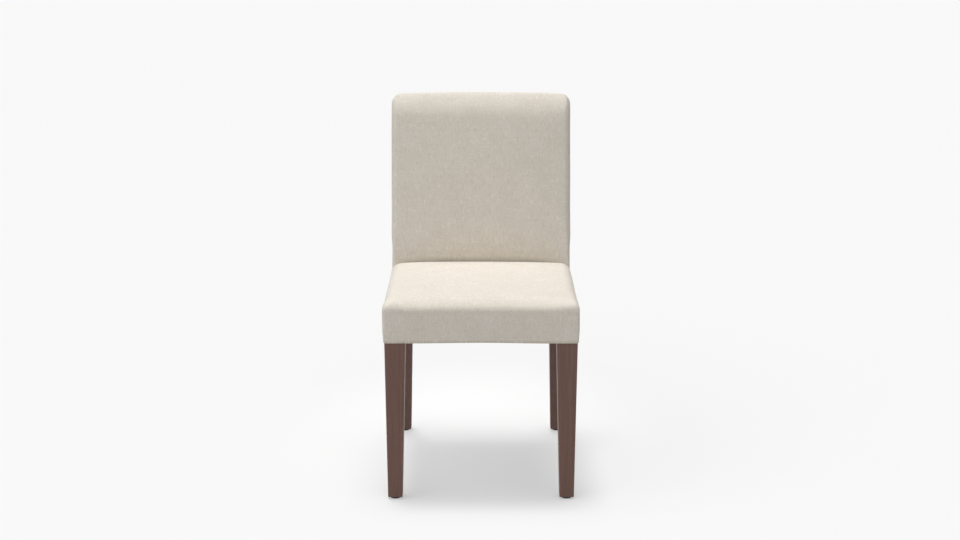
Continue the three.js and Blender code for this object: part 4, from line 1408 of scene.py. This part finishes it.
class CHAIR_OT_webbing(bpy.types.Operator):
    """Make the elastic webbing across the back"""

    bl_idname = "chair.webbing"
    bl_label = "Webbing"

    narrowing = 0.03  # the share of its width that a stretched strap loses in its middle

    def execute(self, context):
        for name in [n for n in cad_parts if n.startswith("back_webbing_")]:
            self.make_strap(context.scene, name)
        return {"FINISHED"}

    def make_strap(self, scene, name):
        place = back_matrix()
        points = [place.inverted() @ v.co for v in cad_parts[name].data.vertices]
        low, high = [Vector([end(axis) for axis in zip(*points)]) for end in (min, max)]
        size, middle = high - low, (low + high) / 2
        bm = bmesh.new()
        bmesh.ops.create_grid(bm, x_segments=36, y_segments=8, size=0.5)
        lay_weave(bm, lambda face, co: (co.x * size.x, co.y * size.z))
        for vert in bm.verts:
            u, v = vert.co.xy
            waist = 1 - self.narrowing * math.cos(math.pi * u)
            vert.co = Vector((u * size.x, low.y, middle.z + v * size.z * waist))
        bmesh.ops.recalc_face_normals(bm, faces=bm.faces)
        if bm.faces[0].normal.y > 0:
            bmesh.ops.reverse_faces(bm, faces=bm.faces)
        bmesh.ops.transform(bm, matrix=place, verts=bm.verts)
        piece = new_piece(name + "_strap", bm, webbing(scene.chair_colours))
        thicken(piece, size.y)
        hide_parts(name)


class CHAIR_OT_outside_back(bpy.types.Operator):
    """Make the outside back and its blind stitches"""

    bl_idname = "chair.outside_back"
    bl_label = "Outside back"

    quad = 0.0085
    edge, parts = 0.004, 4  # closer cuts, where the sides roll in
    ripple, ripple_size, fade_width = 0.0005, (0.11, 0.13), 0.05

    def execute(self, context):
        scene, panel = context.scene, RearPanel()
        bm = self.flat_panel(panel)
        for vert in bm.verts:
            vert.co = panel.place(*vert.co.xy) + Vector((0, self.ripple_at(panel, vert.co), 0))
        self.clear_posts(bm)
        bmesh.ops.recalc_face_normals(bm, faces=bm.faces)
        if max(bm.faces, key=lambda f: f.calc_area()).normal.y < 0:
            bmesh.ops.reverse_faces(bm, faces=bm.faces)
        piece = new_piece("outside_back_linen", bm, linen(scene.chair_colours))
        thicken(piece, scene.chair_cloth.thickness)
        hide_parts("outside_back_cover")
        self.make_stitches(scene, panel)
        return {"FINISHED"}

    def flat_panel(self, panel):
        """The cloth as it is cut, with closer cuts at its sides and where it turns."""
        inner = panel.half - self.edge
        sides = [self.edge * i / self.parts for i in range(1, self.parts + 1)]
        columns = [s - panel.half for s in sides] + steps_between(-inner, inner, self.quad)[1:]
        columns += [panel.half - s for s in sides]
        rows, level = [], 0
        for length, turn in panel.segments:
            step = length / self.parts if turn else self.quad
            rows += steps_between(level, level + length, step)
            level += length
        low, high = Vector((-panel.half, 0, 0)), Vector((panel.half, panel.length, 0))
        bm = flat_cloth(low, high, (columns, rows[1:]))
        lay_weave(bm, lambda face, co: co.xy)
        return bm

    def ripple_at(self, panel, co):
        """A slight unevenness, which fades out towards the sewn edges."""
        margins = (panel.half - abs(co.x), co.y, panel.length - co.y)
        fade = math.prod(clamp(margin / self.fade_width, 0, 1) for margin in margins)
        where = Vector((co.x / self.ripple_size[0], co.y / self.ripple_size[1], 9))
        return self.ripple * fade * noise.noise(where)

    def clear_posts(self, bm):
        """Opens the hem under the rear posts."""
        inner = LEG_LOW.x - GAP
        behind, low = SEAT_HIGH.y - 0.0015, PANEL_LOW.z + LIP_DEPTH
        slice_along(bm, 0, (-inner, inner))
        delete_faces(bm, lambda c: abs(c.x) > inner and c.y < behind and c.z < low)

    def stitch(self):
        """One short, slanting stitch along x."""
        bm = bmesh.new()
        bmesh.ops.create_uvsphere(bm, u_segments=6, v_segments=5, radius=0.5)
        size = Matrix.Diagonal((0.0034, 0.0007, 0.0007, 1))
        slant = Matrix.Rotation(math.radians(24), 4, "Z")
        bmesh.ops.transform(bm, matrix=slant @ size, verts=bm.verts)
        return meshed("stitch", bm)

    def make_stitches(self, scene, panel):
        """Short stitches that cross from the panel's folded edge into the cover beside it."""
        pitch, nudge, sunk = scene.chair_cloth.stitch_pitch, 0.001, 0.0002
        low, high = panel.lip + 0.008, panel.length - 0.002
        seam = [(panel.half, v) for v in steps_between(low, high - panel.corner, pitch)]
        seam += [(-u, v) for u, v in seam]
        across = panel.half - panel.corner
        seam += [(u, high) for u in steps_between(-across, across, pitch)]
        bm, stitch = bmesh.new(), self.stitch()
        for u, v in seam:
            on_side = v < high
            du, dv = (0, nudge) if on_side else (nudge, 0)
            along = (panel.place(u + du, v + dv) - panel.place(u - du, v - dv)).normalized()
            outwards = Vector((math.copysign(1, u), 0, 0)) if on_side else Vector((0, 0, 1))
            behind = along.cross(outwards).normalized()
            if behind.y < 0:
                behind.negate()
            turn = Matrix((along, behind.cross(along), behind)).transposed().to_4x4()
            stamp(bm, stitch, Matrix.Translation(panel.place(u, v) - behind * sunk) @ turn)
        bpy.data.meshes.remove(stitch)
        bmesh.ops.recalc_face_normals(bm, faces=bm.faces)
        new_piece("outside_back_stitches", bm, thread(scene.chair_colours))


class CHAIR_OT_dust_cover(bpy.types.Operator):
    """Make the dust cover and the staples under the seat"""

    bl_idname = "chair.dust_cover"
    bl_label = "Dust cover"

    # The corners are cut out, clear of the legs.
    notch = LEG_LOW.x - 0.003
    front, rear = LEG_HIGH.y + 0.003, POST_LOW.y - 0.003

    def execute(self, context):
        scene = context.scene
        bm = self.flat_cover()
        area = sum(f.calc_area() for f in bm.faces)
        self.sag(bm)
        piece = new_piece("dust_cover_cambric", bm, cambric(scene.chair_colours))
        thicken(piece, DUST_HIGH.z - DUST_LOW.z, 1)
        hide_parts("dust_cover")
        self.make_staples(scene)
        return {"FINISHED"}

    def flat_cover(self):
        """The cloth as it is cut, with closer cuts at its hem."""
        quad, edge, hem = 0.012, 0.001, 0.011
        lines = []
        for axis, ends in enumerate(((-self.notch, self.notch), (self.front, self.rear))):
            low, high = DUST_LOW[axis], DUST_HIGH[axis]
            hems = (low + edge, low + hem, high - hem, high - edge)
            lines.append((*ends, *hems, *steps_between(low, high, quad)[1:]))
        bm = flat_cloth(DUST_LOW, Vector((*DUST_HIGH.xy, DUST_LOW.z)), lines)
        delete_faces(bm, lambda c: abs(c.x) > self.notch and not self.front < c.y < self.rear)
        return bm

    def sag(self, bm):
        """Lets the middle hang and wrinkle a little, and thickens the folded hem."""
        depth, wrinkle, ripple, fold = 0.0030, 0.0009, 0.05, 0.0005
        wrinkle_from, wrinkle_over = 0.012, 0.03  # from the edge inwards
        fold_end, fold_step = 0.0105, 0.001
        middle, half = (DUST_LOW + DUST_HIGH) / 2, (DUST_HIGH - DUST_LOW) / 2
        for vert in bm.verts:
            u = (vert.co.x - middle.x) / half.x
            v = (vert.co.y - middle.y) / half.y
            edge = min(half.x * (1 - abs(u)), half.y * (1 - abs(v)))
            wrinkled = wrinkle * smooth((edge - wrinkle_from) / wrinkle_over)
            wrinkled *= noise.noise(vert.co / ripple + Vector((1, 8, 3)))
            vert.co.z -= depth * (1 - u**2) * (1 - v**2) + wrinkled
            vert.co.z -= fold * (1 - smooth((edge - fold_end) / fold_step))

    def staple(self):
        """A crown with two legs that point up, into the rail."""
        wire, broad, crown, leg = 0.0007, 0.0011, 0.010, 0.006
        inner = crown / 2 - wire
        bm = bmesh.new()
        bmesh.ops.create_cube(bm, size=1)
        bmesh.ops.scale(bm, vec=(crown, broad, wire), verts=bm.verts)
        slice_along(bm, 0, (-inner, inner))
        ends = [f for f in bm.faces if abs(f.calc_center_median().x) > inner]
        tips = [f for f in ends if f.normal.z > 0.5]
        drawn = bmesh.ops.extrude_discrete_faces(bm, faces=tips)["faces"]
        points = list({v for f in drawn for v in f.verts})
        bmesh.ops.translate(bm, vec=(0, 0, leg), verts=points)
        return meshed("staple", bm)

    def make_staples(self, scene):
        """Staples along the dust cover's hem, and along the cover's lip beside it."""
        pitch, end = scene.chair_cloth.staple_pitch, 0.012
        across = steps_between(end - self.notch, self.notch - end, pitch)
        along = steps_between(self.front + end, self.rear - end, pitch)
        quarter = Matrix.Rotation(math.pi / 2, 4, "Z")
        hem, hem_level = 0.006, DUST_LOW.z - 0.0009
        lip, lip_level = -0.0016, SEAT_LOW.z - 0.0003
        bm, staple = bmesh.new(), self.staple()
        for inside, level in ((hem, hem_level), (lip, lip_level)):
            x, near, far = DUST_HIGH.x - inside, DUST_LOW.y + inside, DUST_HIGH.y - inside
            # The cover has no lip at its rear.
            for y in (near, far) if inside == hem else (near,):
                for place in across:
                    stamp(bm, staple, Matrix.Translation((place + pitch / 2, y, level)))
            for side in (-x, x):
                for place in along:
                    there = Matrix.Translation((side, place + pitch / 2, level))
                    stamp(bm, staple, there @ quarter)
        bpy.data.meshes.remove(staple)
        bmesh.ops.recalc_face_normals(bm, faces=bm.faces)
        new_piece("seat_underside_staples", bm, zinc(scene.chair_colours), 30)


STEPS = (
    CHAIR_OT_stage,
    CHAIR_OT_frame_finishes,
    CHAIR_OT_glides,
    CHAIR_OT_seat_cover,
    CHAIR_OT_back_cover,
    CHAIR_OT_padding,
    CHAIR_OT_webbing,
    CHAIR_OT_outside_back,
    CHAIR_OT_dust_cover,
)


class CHAIR_PT_panel(bpy.types.Panel):
    """The steps that dress the chair"""

    bl_idname = "CHAIR_PT_panel"
    bl_label = "Parsons chair"
    bl_space_type = "VIEW_3D"
    bl_region_type = "UI"
    bl_category = "Chair"

    def draw(self, context):
        for step in STEPS:
            self.layout.operator(step.bl_idname)
        for name, group in GROUPS.items():
            box = self.layout.box()
            for key in group.__annotations__:
                box.prop(getattr(context.scene, name), key)


CLASSES = (*GROUPS.values(), *STEPS, CHAIR_PT_panel)


def register():
    for item in CLASSES:
        bpy.utils.register_class(item)
    for name, group in GROUPS.items():
        setattr(bpy.types.Scene, name, bpy.props.PointerProperty(type=group))


def unregister():
    for name in GROUPS:
        delattr(bpy.types.Scene, name)
    for item in reversed(CLASSES):
        bpy.utils.unregister_class(item)


def main():
    register()
    for step in STEPS:
        group, name = step.bl_idname.split(".")
        getattr(getattr(bpy.ops, group), name)()
    bpy.context.view_layer.update()


if __name__ == "__main__":
    main()
